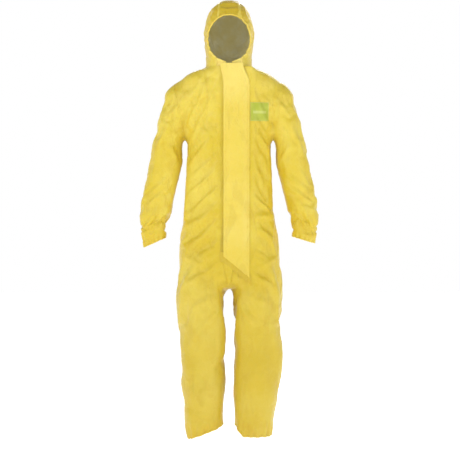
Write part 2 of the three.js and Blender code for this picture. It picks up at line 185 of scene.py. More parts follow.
def evaluated(o, name=None):
    """A plain mesh of what an object's modifiers make, with the object replaced by it."""
    bpy.context.view_layer.update()
    mesh = bpy.data.meshes.new_from_object(o.evaluated_get(bpy.context.evaluated_depsgraph_get()))
    o.modifiers.clear()
    o.data = mesh
    if name:
        o.name = mesh.name = name
    return o


def even_net(o, cell, relax=3):
    """Remesh a closed solid into equal cells, and relax them."""
    remesh = o.modifiers.new("even net", "REMESH")
    remesh.mode = "VOXEL"
    remesh.voxel_size = cell
    smooth = o.modifiers.new("relax", "SMOOTH")
    smooth.factor = 0.5
    smooth.iterations = relax
    return evaluated(o)


def leg_rings(side):
    """The rings of one leg. The left foot is turned out, so its shin looks the wider one from the front."""
    wider, shift = (13, 3) if side > 0 else (4, -3)
    out = []
    for height, x, width, front, back in LEG:
        share = math.sin(math.pi * (height - 100) / 460) if 100 < height < 560 else 0
        out.append((height, x + shift * share, width + wider * share, front, back))
    return out


def suit_solids(inset=0.0):
    """The closed solids of the suit: the trunk with its legs and sleeves, and the hood."""
    parts = [loft("trunk", smooth_rings(TRUNK), 2.6, inset=inset)]
    for _, side in SIDES:
        parts.append(loft("leg", smooth_rings(leg_rings(side)), 2.7, side, inset))
        parts.append(loft("sleeve", smooth_rings(dome(SLEEVE, 1541)), 2.2, side, inset, 48))
    head = loft("hood", smooth_rings(dome(HOOD, 1864)), 2.4, inset=inset, sides=48)
    return join(parts, "body"), head


CELL = 0.0095
body_cloth, head_cloth = (even_net(solid, CELL) for solid in suit_solids())
body_faces = len(body_cloth.data.polygons)
suit = join([body_cloth, head_cloth], "suit")
print("suit net:", len(suit.data.vertices), "points")

# %% [markdown]
# ## Ways to look at the net
# Everything that shapes the cloth works on its points as one array, so that a rule such as "near the
# waist" is a line of arithmetic.

# %% Points, normals and soft steps
def points_of(mesh):
    co = np.empty(len(mesh.vertices) * 3)
    mesh.vertices.foreach_get("co", co)
    return co.reshape(-1, 3)


def set_points(mesh, co):
    mesh.vertices.foreach_set("co", np.asarray(co, np.float32).ravel())
    mesh.update()


def normals_of(mesh):
    n = np.empty(len(mesh.vertices) * 3)
    mesh.vertex_normals.foreach_get("vector", n)
    return n.reshape(-1, 3)


def step(low, high, value):
    """0 below low, 1 above high, and smooth between. low may be the larger one."""
    t = np.clip((value - low) / (high - low), 0, 1)
    return t * t * (3 - 2 * t)


# %% [markdown]
# ## Cutting cloth
# A cut is a number at each point that is positive where the cloth stays and negative where it goes.
# Splitting each edge where that number is zero, and joining the new points, gives a clean line however
# the cells lie. The same helper draws the armhole seams, opens the neck, the face and the wrists, and
# marks where one moving section meets the next. A slot number on each face says which section it belongs
# to, and it survives all of that.

# %% A cut along the zero line of a field
SECTIONS = ["trunk", "left_sleeve", "right_sleeve", "hood", "left_hip", "right_hip",
            "left_shin", "right_shin", "left_forearm", "right_forearm"]
TRUNK_PART, LEFT_PART, RIGHT_PART, HOOD_PART, HIP_PART, _, SHIN_PART, _, FOREARM_PART, _ = range(10)
SLEEVES = {LEFT_PART, RIGHT_PART}


def scissors(bm, field, chosen, snap=0.12):
    """Lay edges along the line where field is zero, among the sections in chosen."""
    bm.verts.ensure_lookup_table()
    bm.verts.index_update()
    co = np.array([v.co for v in bm.verts])
    value = field(co)
    value[[v.link_faces[0].material_index not in chosen for v in bm.verts]] = 1.0
    value[np.abs(value) < CELL * snap] = 0.0
    crossing = []
    for e in bm.edges:
        a, b = e.verts[0].index, e.verts[1].index
        if value[a] * value[b] < 0:
            crossing.append((e, e.verts[0], value[a] / (value[a] - value[b])))
    on_line = [bm.verts[i] for i in np.nonzero(value == 0)[0]]
    for e, v, t in crossing:
        on_line.append(bmesh.utils.edge_split(e, v, t)[1])
    bmesh.ops.connect_verts(bm, verts=on_line, check_degenerate=False)


def drop(bm, field, chosen):
    """Remove the faces of the chosen sections whose middle is where field is negative."""
    faces = [f for f in bm.faces if f.material_index in chosen]
    middles = np.array([f.calc_center_median() for f in faces])
    gone = [f for f, value in zip(faces, field(middles)) if value < 0]
    bmesh.ops.delete(bm, geom=gone, context="FACES")


# %% [markdown]
# ## Where the sleeves are sewn on
# Trunk and sleeve are one surface so far. The armhole seam is a line on it, from the armpit up to the end
# of the shoulder, in a plane that leans outward a little. Below the armpit the two are apart, and a line
# through the middle of the gap between them tells which is which.

# %% Mark the sleeves
ARMPIT = Vector((0.180, 0, level(1296)))
OUTWARD = Vector((0.982, 0, -0.189))  # square to the armhole, from the trunk to the sleeve
GAP = [  # height and x of the middle of the gap, in mm
    (850, 232), (960, 222), (1013, 217), (1111, 199), (1210, 184), (1296, 180),
]


def sleeve_side(co):
    """Metres beyond the armhole seam: positive on a sleeve, negative on the trunk."""
    x, z = np.abs(co[:, 0]), co[:, 2]
    seam = (x - ARMPIT.x) * OUTWARD.x + (z - ARMPIT.z) * OUTWARD.z
    heights, middles = np.array(GAP, float).T
    gap = x - np.interp(z, (heights - NECK) / 1000, middles / 1000)
    return np.where(z > ARMPIT.z, seam, gap)


for name in SECTIONS:
    suit.data.materials.append(bpy.data.materials.new("section_" + name))
bm = bmesh.new()
bm.from_mesh(suit.data)
bm.faces.ensure_lookup_table()
for f in bm.faces[body_faces:]:
    f.material_index = HOOD_PART
scissors(bm, sleeve_side, {TRUNK_PART})
for f in bm.faces:
    middle = f.calc_center_median()
    if f.material_index == TRUNK_PART and sleeve_side(np.array([middle]))[0] > 0:
        f.material_index = LEFT_PART if middle.x > 0 else RIGHT_PART
part_of = np.array([min(f.material_index for f in v.link_faces) for v in bm.verts])
bm.to_mesh(suit.data)
bm.free()
print("points in each part:", [int((part_of == k).sum()) for k in range(4)])

# %% [markdown]
# ## Folds that the body gives the cloth
# A loose suit has a few long folds that come back each time: from the neck to the armpits, round the
# crotch and the knees. They are drawn first, each as a soft ridge along a line on the front, and the
# simulation then works on them, because a fold that starts somewhere real looks right and one that starts
# from noise does not.

# %% Draw the long folds
def ridge(co, n, start, end, width, height, front=True):
    """Raise the cloth along a line from start to end, given as (x, height) in mm, seen from the front."""
    a = np.array([start[0] / 1000, level(start[1])])
    b = np.array([end[0] / 1000, level(end[1])])
    p = co[:, [0, 2]] - a
    line = b - a
    t = np.clip(p @ line / (line @ line), 0, 1)
    away = np.linalg.norm(p - t[:, None] * line, axis=1) / (width / 1000)
    fade = np.sin(np.pi * np.clip(t, 0.04, 0.96)) ** 0.6
    facing = step(-0.1, 0.35, -n[:, 1] if front else n[:, 1])
    lift = (np.exp(-away**2) - 0.35 * np.exp(-((away - 1.7) ** 2))) * fade * facing
    return n * (lift * height / 1000)[:, None]


FOLDS = [  # start, end, width, height, all in mm as seen from the front
    ((-58, 1575), (-182, 1325), 11, 8), ((-40, 1540), (-150, 1300), 9, 6),
    ((-95, 1560), (-196, 1400), 9, 6), ((62, 1560), (170, 1330), 11, 7),
    ((110, 1330), (165, 1240), 10, 7), ((-70, 1300), (-160, 1200), 9, 8),
    ((-48, 1240), (-150, 1150), 8, 7), ((-60, 1170), (-165, 1080), 8, 8),
    ((-50, 1100), (-140, 1030), 8, 7), ((98, 1225), (135, 1120), 9, 8), ((90, 1080), (165, 1010), 9, 6),
    ((-60, 1000), (-185, 955), 13, 10), ((95, 985), (185, 1000), 12, 10),
    ((100, 940), (190, 905), 12, 7), ((-50, 935), (-170, 880), 12, 8), ((-30, 800), (-185, 730), 12, 8),
    ((-40, 760), (-190, 850), 12, 6), ((30, 790), (180, 720), 12, 8), ((60, 745), (195, 830), 11, 6),
    ((-30, 690), (-170, 640), 10, 9), ((28, 690), (170, 650), 10, 8), ((-35, 640), (-130, 560), 10, 8),
    ((35, 650), (120, 560), 10, 7), ((-190, 560), (-60, 500), 11, 6), ((190, 575), (60, 505), 11, 6),
    ((-60, 480), (-175, 430), 11, 5), ((55, 470), (170, 425), 11, 5), ((-45, 420), (-120, 330), 10, 4),
    ((120, 390), (88, 200), 10, 4), ((165, 420), (140, 250), 10, 3), ((-150, 400), (-165, 230), 10, 3),
    ((-60, 300), (-85, 170), 9, 3), ((60, 300), (45, 170), 9, 3), ((-60, 905), (-150, 876), 6, 6),
    ((-52, 868), (-128, 838), 6, 6), ((-56, 1065), (-120, 1040), 6, 5),
    ((-150, 930), (-190, 902), 6, 5), ((112, 1050), (168, 1022), 6, 5), ((105, 850), (150, 826), 6, 5),
    ((250, 1290), (205, 1200), 9, 7), ((-250, 1290), (-205, 1210), 9, 7),
    ((235, 1170), (320, 1110), 9, 8), ((-235, 1170), (-320, 1100), 9, 8),
    ((250, 1120), (335, 1060), 9, 7), ((-255, 1115), (-335, 1050), 9, 7),
    ((300, 1040), (345, 950), 8, 6), ((-300, 1030), (-350, 950), 8, 6), ((275, 1000), (335, 925), 8, 7),
    ((-275, 1000), (-335, 930), 8, 7), ((150, 1500), (240, 1400), 10, 6),
    ((-150, 1500), (-240, 1390), 10, 6),
]
BACK_FOLDS = [
    ((-60, 1560), (-170, 1330), 12, 7), ((60, 1560), (170, 1330), 12, 7),
    ((-40, 1120), (-160, 1010), 12, 9), ((40, 1120), (160, 1010), 12, 9),
    ((-20, 1010), (-150, 935), 12, 9), ((20, 1010), (150, 930), 12, 9),
    ((-30, 760), (-180, 690), 12, 9), ((30, 760), (180, 690), 12, 9), ((-50, 520), (-180, 470), 11, 6),
    ((50, 520), (180, 470), 11, 6), ((-45, 470), (-165, 410), 11, 5), ((45, 470), (165, 410), 11, 5),
]


def draw_folds(co, n):
    move = np.zeros_like(co)
    for start, end, width, height in FOLDS:
        move += ridge(co, n, start, end, width, height)
    for start, end, width, height in BACK_FOLDS:
        move += ridge(co, n, start, end, width, height, front=False)
    move[part_of == HOOD_PART] = 0
    return co + move


co = draw_folds(points_of(suit.data), normals_of(suit.data))
set_points(suit.data, co)

# %% [markdown]
# ## What holds the cloth
# The zip keeps the front edge straight, and thread or elastic holds the neck, the armholes, the wrists,
# the ankles and the rim of the hood. Those points are pinned, fully on the seam and less and less away
# from it, and the rest of the cloth is free.

# %% Pin the seams
def pins(co, part):
    x, y, z = co.T
    front = y < -0.02
    lower, sleeve, hood = part == TRUNK_PART, (part == LEFT_PART) | (part == RIGHT_PART), part == HOOD_PART
    closure = front * step(-0.055, -0.03, x) * (1 - step(0.09, 0.12, x)) * step(level(720), level(760), z)
    armhole = (z > ARMPIT.z - 0.005) * (1 - step(0.004, 0.03, np.abs(sleeve_side(co))))
    underarm = 0.6 * (1 - step(0.03, 0.08, np.hypot(np.abs(x) - ARMPIT.x, z - ARMPIT.z)))
    waist = 0.25 * ~front * (1 - step(0.0, 0.02, np.abs(z - level(WAIST))))
    side_seam = 0.15 * (1 - step(0.004, 0.012, np.abs(y))) * (z > level(820))
    rim = np.hypot(x / 0.086, (z - level(1702)) / 0.094)
    holds = [
        lower * step(level(1545), level(1588), z), lower * closure, ~hood * armhole, ~hood * underarm,
        lower * (1 - step(level(112), level(135), z)), lower * waist, lower * side_seam,
        sleeve * (1 - step(level(905), level(925), z)), hood * front * (1 - step(1.1, 1.3, rim)),
        hood * (1 - step(level(1605), level(1630), z)),
        0.5 * hood * (1 - step(0.004, 0.012, np.abs(np.abs(x) - 0.05))),
    ]
    return np.maximum.reduce([np.asarray(h, float) for h in holds])


group = suit.vertex_groups.new(name="seams")
for value in range(1, 21):
    chosen = np.nonzero(np.round(pins(co, part_of) * 20) == value)[0]
    group.add([int(i) for i in chosen], value / 20, "REPLACE")

# %% [markdown]
# ## Let the cloth settle
# The coated film is a little too large for the body in it, everywhere and always. Growing the cloth by a
# few percent over a firm dummy makes it buckle into the crisp creases of such a film, and gravity pulls
# them down. The dummy is the same loft, drawn in, and it is removed afterwards.

# %% Run the simulation once, and keep its result
def settle(frames):
    dummy = join(list(suit_solids(inset=15)), "dummy")
    even_net(dummy, 0.02, 2)
    dummy.modifiers.new("solid", "COLLISION")
    dummy.collision.thickness_outer = 0.002
    dummy.collision.cloth_friction = 8
    cloth = suit.modifiers.new("cloth", "CLOTH")
    how = cloth.settings
    how.quality = 5
    how.mass = 0.08
    how.tension_stiffness = how.compression_stiffness = 18
    how.shear_stiffness = 8
    how.bending_stiffness = 1.2
    how.air_damping = 2
    how.shrink_min = -0.045
    how.vertex_group_mass = "seams"
    how.pin_stiffness = 1.0
    how.effector_weights.gravity = 0.35
    cloth.collision_settings.distance_min = 0.003
    cloth.collision_settings.collision_quality = 2
    cloth.point_cache.frame_start, cloth.point_cache.frame_end = 1, frames
    for f in range(1, frames + 1):
        bpy.context.scene.frame_set(f)
    evaluated(suit)
    bpy.context.scene.frame_set(1)
    bpy.data.objects.remove(dummy)


clock = time.time()
settle(26)
print("settled in", round(time.time() - clock), "s")

# %% [markdown]
# ## The stiff front
# Round the zip the cloth is folded and sewn in several layers, so it lies flat and straight there. The
# points near the closure are moved back to the straight front edge, and what lies under the storm flap is
# kept from bulging through it. The flap is sewn down 82 mm to the wearer's left, where the cloth stays
# just behind the front edge. The shins hang free and the tops of the shoulders carry the suit, so both
# are calmer than the rest.

# %% Flatten the front
FLAP_SEWN = 0.082


def press_front(co, part):
    x, z = co[:, 0], co[:, 2]
    wanted = zip_plane(z) + 0.0016 * np.clip(x / FLAP_SEWN, 0, 1.2) ** 2
    near = step(-0.062, -0.026, x) * (1 - step(0.086, 0.125, x))
    near = near * (part == TRUNK_PART) * (co[:, 1] < -0.04)
    near = near * step(level(716), level(748), z) * (1 - step(level(1592), level(1600), z))
    out = co.copy()
    out[:, 1] += near * (wanted - co[:, 1])
    return out


def calm(co, edges, weight, rounds):
    """Move each point toward the middle of its neighbours, as far as its weight says."""
    both = np.concatenate([edges, edges[:, ::-1]])
    count = np.bincount(both[:, 0], minlength=len(co))[:, None]
    for _ in range(rounds):
        total = np.zeros_like(co)
        np.add.at(total, both[:, 0], co[both[:, 1]])
        co = co + weight[:, None] * (total / np.maximum(count, 1) - co)
    return co


co = points_of(suit.data)
net_edges = np.array([e.vertices[:] for e in suit.data.edges])
shin = (part_of == TRUNK_PART) * (1 - step(level(420), level(560), co[:, 2]))
shoulder_top = np.exp(-((np.abs(co[:, 0]) - 0.20) / 0.055) ** 2 - ((co[:, 2] - level(1530)) / 0.040) ** 2)
co = calm(co, net_edges, 0.6 * np.maximum(shin, shoulder_top * (part_of != HOOD_PART)), 22)
set_points(suit.data, press_front(co, part_of))

# %% [markdown]
# ## Openings and sections
# The neck, the face, the wrists, the ankles and the slot for the zip are opened on the settled cloth. The
# hems slant: a sleeve hangs lower on the outside of the wrist, and a leg lower on the outside of the
# foot. The same cuts mark the waist, the elbows, the top of each shin and the line between the legs.

# %% Open the suit and mark its sections
FACE_WIDE, FACE_TALL, FACE_MIDDLE = 0.087, 0.095, 1702  # half width, half height and height of the middle


def face_opening(co):
    x, y, z = co.T
    oval = (np.hypot(x / FACE_WIDE, (z - level(FACE_MIDDLE)) / FACE_TALL) - 1) * 0.09
    chin = np.maximum(np.abs(x) - 0.05, z - level(1650))
    return np.maximum(y + 0.02, np.minimum(oval, chin))


def zip_slot(co):
    return np.maximum.reduce([np.abs(co[:, 0]) - 0.0108, co[:, 1] + 0.04, level(772) - co[:, 2]])


def ankle_hem(co):
    x, z = co[:, 0], co[:, 2]
    left = z - level(90) - np.clip(0.055 - x, 0, 0.035) * 1.4
    right = z - level(103) + (-x - 0.1) * 0.4
    return np.where(x > 0, left, right)


def cuff_hem(co):
    left = co[:, 2] - level(892) + (co[:, 0] - 0.308) * 0.3
    right = co[:, 2] - level(880) + (-co[:, 0] - 0.308) * 0.45
    return np.where(co[:, 0] > 0, left, right)


ELBOW = Vector((0.281, 0, level(1136)))
ARM = Vector((0.16, 0, -0.987))  # the way down the sleeve
ELBOW_HALF = 0.062  # half the stretch of sleeve that bends


def above_elbow(co):
    """Metres above the stretch that bends."""
    x, z = np.abs(co[:, 0]), co[:, 2]
    return -((x - ELBOW.x) * ARM.x + (z - ELBOW.z) * ARM.z) - ELBOW_HALF


SHIN_TOP = 555
bm = bmesh.new()
bm.from_mesh(suit.data)
for field, chosen in (
    (lambda co: level(1593) - co[:, 2], {TRUNK_PART}), (ankle_hem, {TRUNK_PART}), (zip_slot, {TRUNK_PART}),
    (cuff_hem, SLEEVES), (lambda co: co[:, 2] - level(1588), {HOOD_PART}), (face_opening, {HOOD_PART}),
):
    scissors(bm, field, chosen)
    drop(bm, field, chosen)
for height in (WAIST, SHIN_TOP):
    scissors(bm, lambda co: co[:, 2] - level(height), {TRUNK_PART})
scissors(bm, lambda co: co[:, 0].copy(), {TRUNK_PART})
scissors(bm, above_elbow, SLEEVES)
bmesh.ops.delete(bm, geom=[v for v in bm.verts if not v.link_faces], context="VERTS")
bmesh.ops.remove_doubles(bm, verts=bm.verts, dist=0.0004)
for f in bm.faces:
    middle = f.calc_center_median()
    right = int(middle.x < 0)
    if f.material_index == TRUNK_PART and middle.z < level(WAIST):
        f.material_index = (HIP_PART if middle.z > level(SHIN_TOP) else SHIN_PART) + right
    elif f.material_index in SLEEVES and above_elbow(np.array([middle]))[0] < 0:
        f.material_index = FOREARM_PART + right
    f.smooth = True
bm.to_mesh(suit.data)
bm.free()
finer = suit.modifiers.new("finer", "SUBSURF")
finer.levels = finer.render_levels = 1
evaluated(suit)
print("finer suit:", len(suit.data.polygons), "faces")

# %% [markdown]
# ## Gathers and crumples
# Elastic draws the cloth into small pleats at the wrists, the ankles, the face and the back of the waist.
# Each pleat is widest at the elastic and dies away over a hand's width. Over all of the cloth lie the
# sharp, shallow facets of a film that has been folded into its packet and worn: those come from a
# cellular noise, whose borders are the creases.

# %% Push the fine points along their normals
def wave(angle, count, seed):
    """An uneven pleat pattern round a circle, from -1 to 1."""
    drift = 0.9 * np.sin(2 * angle + seed) + 0.6 * np.sin(5 * angle + 1.7 * seed)
    drift = drift + 0.3 * np.sin(9 * angle + seed)
    return np.sin(count * angle + drift) * (0.75 + 0.25 * np.sin(3 * angle + 2.3 * seed))


def gathers(co):
    x, y, z = co.T
    lift = np.zeros(len(co))
    low = (z < level(330)) & (np.abs(x) < 0.25)
    for _, side in SIDES:
        leg = low & (x * side > 0)
        angle = np.arctan2(y, x - side * 0.101)
        lift += leg * wave(angle, 17, 1 + side) * (1 - step(level(100), level(175), z)) * 0.0042
        arm = (z < level(1000)) & (z > level(840)) & (x * side > 0.22)
        angle = np.arctan2(y, x - side * 0.304)
        lift += arm * wave(angle, 13, 2 + side) * (1 - step(level(880), level(945), z)) * 0.0036
    head = z > level(1592)
    turn = np.arctan2(x / FACE_WIDE, (z - level(FACE_MIDDLE)) / FACE_TALL)
    rim = np.hypot(x / FACE_WIDE, (z - level(FACE_MIDDLE)) / FACE_TALL)
    lift += head * (y < 0) * wave(turn, 23, 3) * (1 - step(1.02, 1.3, rim)) * 0.0026
    back = (y > 0.02) & (np.abs(z - level(WAIST)) < 0.09)
    lift += back * wave(x * 22, 9, 4) * (1 - step(0.008, 0.075, np.abs(z - level(WAIST)))) * 0.0034
    return lift


def crumples(co, size, seed):
    """Distance to the nearer crease of a cellular pattern, 0 on a crease, for each point."""
    out = np.empty(len(co))
    shift = Vector((seed * 7.3, seed * 3.1, seed * 5.7))
    for i, p in enumerate(co):
        q = Vector(p) / size + shift
        q = q + 0.35 * noise.noise_vector(q * 0.8)
        d = noise.voronoi(q, distance_metric="DISTANCE")[0]
        out[i] = min(d[1] - d[0], 0.6)
    return out


co, n = points_of(suit.data), normals_of(suit.data)
flatness = step(-0.055, -0.03, co[:, 0]) * (1 - step(0.088, 0.11, co[:, 0])) * (co[:, 1] < -0.04)
flatness *= step(level(735), level(750), co[:, 2]) * (co[:, 2] < level(1592))
free = 1 - 0.85 * flatness
lift = gathers(co)
large, small = crumples(co, 0.052, 1) - 0.25, crumples(co, 0.024, 2) - 0.25
lift = lift + free * (0.0029 * large + 0.0014 * small)
co = co + n * lift[:, None]
set_points(suit.data, co)
fine_normals = normals_of(suit.data)
skin = BVHTree.FromPolygons([tuple(p) for p in co], [tuple(p.vertices) for p in suit.data.polygons])
print("crumpled")

# %% [markdown]
# ## A wall with two sides
# The cloth is coated outside and white inside, and the inside shows in the hood and at the hems. So each
# section gets an inner wall of its own, a little way in, and a rim that closes the two. The normals are
# taken before the suit is split, so the light runs across a split as if it were not there.

# %% Take the suit apart into double-walled sections
WALL = 0.0009


def section(index, name):
    polygons = [p for p in suit.data.polygons if p.material_index == index]
    used = sorted({v for p in polygons for v in p.vertices})
    where = {v: i for i, v in enumerate(used)}
    outer = [tuple(where[v] for v in p.vertices) for p in polygons]
    count = len(used)
    place, n = co[used], fine_normals[used]
    verts = np.concatenate([place, place - n * WALL])
    edges = {}
    for face in outer:
        for a, b in zip(face, face[1:] + face[:1]):
            edges[(a, b)] = edges.get((a, b), 0) + 1
    border = [(a, b) for a, b in edges if (b, a) not in edges]
    inner = [tuple(v + count for v in reversed(face)) for face in outer]
    rim = [(b, a, a + count, b + count) for a, b in border]
    mesh = bpy.data.meshes.new(name)
    mesh.from_pydata([tuple(v) for v in verts], [], outer + inner + rim)
    mesh.materials.append(None)
    mesh.materials.append(None)
    mesh.polygons.foreach_set("material_index", [0] * len(outer) + [1] * len(inner) + [0] * len(rim))
    mesh.polygons.foreach_set("use_smooth", [True] * len(mesh.polygons))
    both = np.concatenate([n, -n])
    corners = np.empty((len(mesh.loops), 3))
    vertex = np.empty(len(mesh.loops), int)
    mesh.loops.foreach_get("vertex_index", vertex)
    corners[:] = both[vertex]
    for p in list(mesh.polygons)[len(outer) + len(inner):]:
        corners[p.loop_start:p.loop_start + p.loop_total] = p.normal
    mesh.normals_split_custom_set([tuple(c) for c in corners])
    made = bpy.data.objects.new(name, mesh)
    bpy.context.scene.collection.objects.link(made)
    return made


cloth = {name: section(k, name + "_cloth") for k, name in enumerate(SECTIONS)}
for name, o in cloth.items():
    print(name, len(o.data.polygons), "faces")

# %% [markdown]
# ## Trimmings that lie on the cloth
# Tape, labels and facings follow every fold under them. Each is laid out as a flat grid along a line and
# then pressed onto the cloth: every point goes to the nearest place on the skin and a little above it,
# higher in the middle than at the edge, as a welded tape lies.

# %% A flat grid pressed onto the skin
def slab(name, top, thick):
    """A thin closed piece under a grid of points top[row][column], which faces out."""
    rows, columns = len(top), len(top[0])
    grid = np.array(top, float).reshape(rows, columns, 3)
    along = np.gradient(grid, axis=0)
    across = np.gradient(grid, axis=1)
    n = np.cross(across, along)
    n /= np.maximum(np.linalg.norm(n, axis=2, keepdims=True), 1e-12)
    verts = np.concatenate([grid.reshape(-1, 3), (grid - n * thick).reshape(-1, 3)])
    count = rows * columns
    at = lambda r, c: r * columns + c
    faces = []
    for r in range(rows - 1):
        for c in range(columns - 1):
            face = (at(r, c), at(r, c + 1), at(r + 1, c + 1), at(r + 1, c))
            faces.append(face)
            faces.append(tuple(v + count for v in reversed(face)))
    ring = [at(0, c) for c in range(columns)] + [at(r, columns - 1) for r in range(1, rows)]
    ring += [at(rows - 1, c) for c in range(columns - 2, -1, -1)]
    ring += [at(r, 0) for r in range(rows - 2, 0, -1)]
    for a, b in zip(ring, ring[1:] + ring[:1]):
        faces.append((b, a, a + count, b + count))
    mesh = bpy.data.meshes.new(name)
    mesh.from_pydata([tuple(v) for v in verts], [], faces)
    made = bpy.data.objects.new(name, mesh)
    bpy.context.scene.collection.objects.link(made)
    shade(made, 40)
    return made


def shade(o, angle=35):
    """Smooth faces, with edges sharper than the angle kept crisp."""
    bm = bmesh.new()
    bm.from_mesh(o.data)
    bmesh.ops.recalc_face_normals(bm, faces=bm.faces)
    for f in bm.faces:
        f.smooth = True
    for e in bm.edges:
        e.smooth = not (e.is_manifold and e.calc_face_angle(0) > math.radians(angle))
    bm.to_mesh(o.data)
    bm.free()
    return o


def path_through(points, gap=0.006):
    """Points evenly along a polyline."""
    points = [Vector(p) for p in points]
    out = []
    for a, b in zip(points, points[1:]):
        count = max(2, int((b - a).length / gap))
        out += [a.lerp(b, k / count) for k in range(count)]
    return out + [points[-1]]


def on_skin(p, lift):
    place, n, _, _ = skin.find_nearest(Vector(p))
    return place + n * lift


TAPE_THICK = 0.0006


def tape(name, points, width, lift=0.0009, across=(0, 1, 0), columns=5):
    """A strip along a line of points near the skin, laid across the given direction and pressed down."""
    line = path_through(points)
    rows = []
    for p in line:
        row = []
        for k in range(columns):
            s = 2 * k / (columns - 1) - 1
            row.append(on_skin(p + Vector(across) * s * width / 2, lift * (1 - 0.75 * abs(s) ** 4)))
        rows.append(row)
    for _ in range(2):
        trios = zip(rows, rows[1:], rows[2:])
        between = [[(a + b * 2 + c) / 4 for a, b, c in zip(*trio)] for trio in trios]
        rows = [rows[0]] + between + [rows[-1]]
    return slab(name, rows, TAPE_THICK)


# %% [markdown]
# ## Seam tapes
# Where two panels are sewn, needle holes would leak, so a strip of film is welded over the stitches. It
# shows as a smoother, slightly raised band. The ones over the hood frame its middle panel; the others run
# down the sides, over the shoulders and down the back.

# %% Make the tapes
def z_line(x, y, high, low):
    return [(x, y, level(high)), (x, y, level(low))]


SEAM_TAPE, HOOD_TAPE = 0.020, 0.014  # widths
TAPE_ROUTES = [  # height in mm, and half width
    ("side_seam_tape", "side_tape", [(1276, 0.170), (1180, 0.171), (1080, 0.176), (966, 0.187)]),
    ("hip_tape", "hip_tape", [(964, 0.187), (885, 0.202), (800, 0.211), (700, 0.217), (560, 0.212)]),
    ("shoulder_seam_tape", "shoulder_tape", [(1582, 0.096), (1574, 0.140), (1550, 0.194)]),
]

centre_back = z_line(0, 0.14, 1582, 700)
tapes = {"centre_back_seam_tape": tape("centre_back_tape", centre_back, SEAM_TAPE, across=(1, 0, 0))}
for name, side in SIDES:
    for slot, made, route in TAPE_ROUTES:
        line = [(side * x, 0, level(height)) for height, x in route]
        tapes[f"{name}_{slot}"] = tape(f"{name}_{made}", line, SEAM_TAPE)
    over = []
    for turn in np.linspace(math.radians(-32), math.radians(178), 44):
        over.append((side * 0.05, -0.13 * math.cos(turn), level(1740) + 0.13 * math.sin(turn)))
    over = [p for p in over if p[2] > level(1742)]
    over += [(side * 0.05, 0.125, level(height)) for height in (1700, 1650, 1600)]
    start = [(side * 0.05, -0.12, level(height)) for height in (1786, 1800)]
    line = start + over[4:]
    tapes[f"hood_{name}_seam_tape"] = tape(f"hood_{name}_tape", line, HOOD_TAPE, across=(1, 0, 0))
for name, o in tapes.items():
    print(name, len(o.data.polygons), "faces")

# %% [markdown]
# ## The storm flap and what it closes on
# The flap is two layers of cloth, folded at its edges and topstitched, so it lies flatter than the cloth
# round it and shows a soft ridge at each fold. It is sewn on one side and sticks down on the other. Low
# down, a facing strip is sewn to the other front, wide enough to show along the free edge and round the
# slanted tail, and a short cover hides the lower end of the zip. Above that the zip lies open to view
# when the flap is lifted. The facing strips are dressed in a darker copy of the cloth, as painted shade
# under the flap's free edge and tail, and the flap in a lighter copy, as painted light.

# %% Lay out the flap
FLAP_FREE = -0.022
FLAP_WIDTH = 0.104
FLAP_TOP = 1603
TAIL_LOW, TAIL_SLOPE = 745, 0.83  # the height of the tail's tip, and its rise per metre toward the free edge


def tail_line(x):
    """The height of the flap's slanted end, as the frame's z."""
    return level(TAIL_LOW) + (FLAP_SEWN - x) * TAIL_SLOPE


def flap_sheet(name, rows, columns):
    grid = []
    for v in np.linspace(0, 1, rows):
        row = []
        for u in np.linspace(0, 1, columns):
            x = FLAP_FREE + (FLAP_SEWN - FLAP_FREE) * u
            bottom = tail_line(x)
            z = bottom + (level(FLAP_TOP) - bottom) * v
            chin = step(level(1520), level(FLAP_TOP), z)
            left, right = FLAP_FREE - 0.012 * chin, FLAP_SEWN - 0.026 * chin
            x = left + (right - left) * u
            edge = min(u, 1 - u) * FLAP_WIDTH
            off = 0.0088 - 0.0078 * step(0.05, FLAP_SEWN, x)
            fold, seam = ((edge - 0.0035) / 0.003) ** 2, ((edge - 0.010) / 0.0016) ** 2
            off += 0.0012 * math.exp(-fold) - 0.0006 * math.exp(-seam)
            p = Vector((x * 9, 0.3, z * 16))
            slack = 0.0017 * noise.noise(p) + 0.0011 * noise.noise(p * 2.7) * min(1, edge / 0.012)
            off += slack * (1 - 0.5 * u)
            slant = Vector((x * 10 + z * 26, 1.7, z * 30 - x * 14))
            off += 0.0013 * max(0, noise.noise(slant)) * (1 - u)
            x += 0.0012 * noise.noise(Vector((0, 4.4, z * 11))) * (1 - u)
            row.append((x, zip_plane(z) - off, z))
        grid.append(row)
    return slab(name, grid, 0.0014)


flap = flap_sheet("storm_flap_cloth", 260, 30)
edge_line = [(-0.012, -0.125, level(985)), (-0.018, -0.125, level(930)), (-0.0225, -0.125, level(880)),
             (-0.0235, -0.125, level(838))]
# This facing is dressed further on in a darker copy of the cloth, as painted shade along the flap's free
# edge.
facing = tape("flap_facing", edge_line, 0.026, lift=0.0012, across=(1, 0, 0))


def behind_flap(x, z):
    """The y of a layer between slider and flap, which comes down to the cloth on both sides."""
    side = step(0.045, 0.080, x) + 1 - step(-0.037, -0.022, x)
    loose = zip_plane(z) - 0.0064 + 0.0050 * min(1, side)
    hit = skin.ray_cast(Vector((x, -0.3, z)), Vector((0, 1, 0)))[0]
    return min(loose, hit.y - 0.0014) if hit and abs(x) > 0.014 else loose


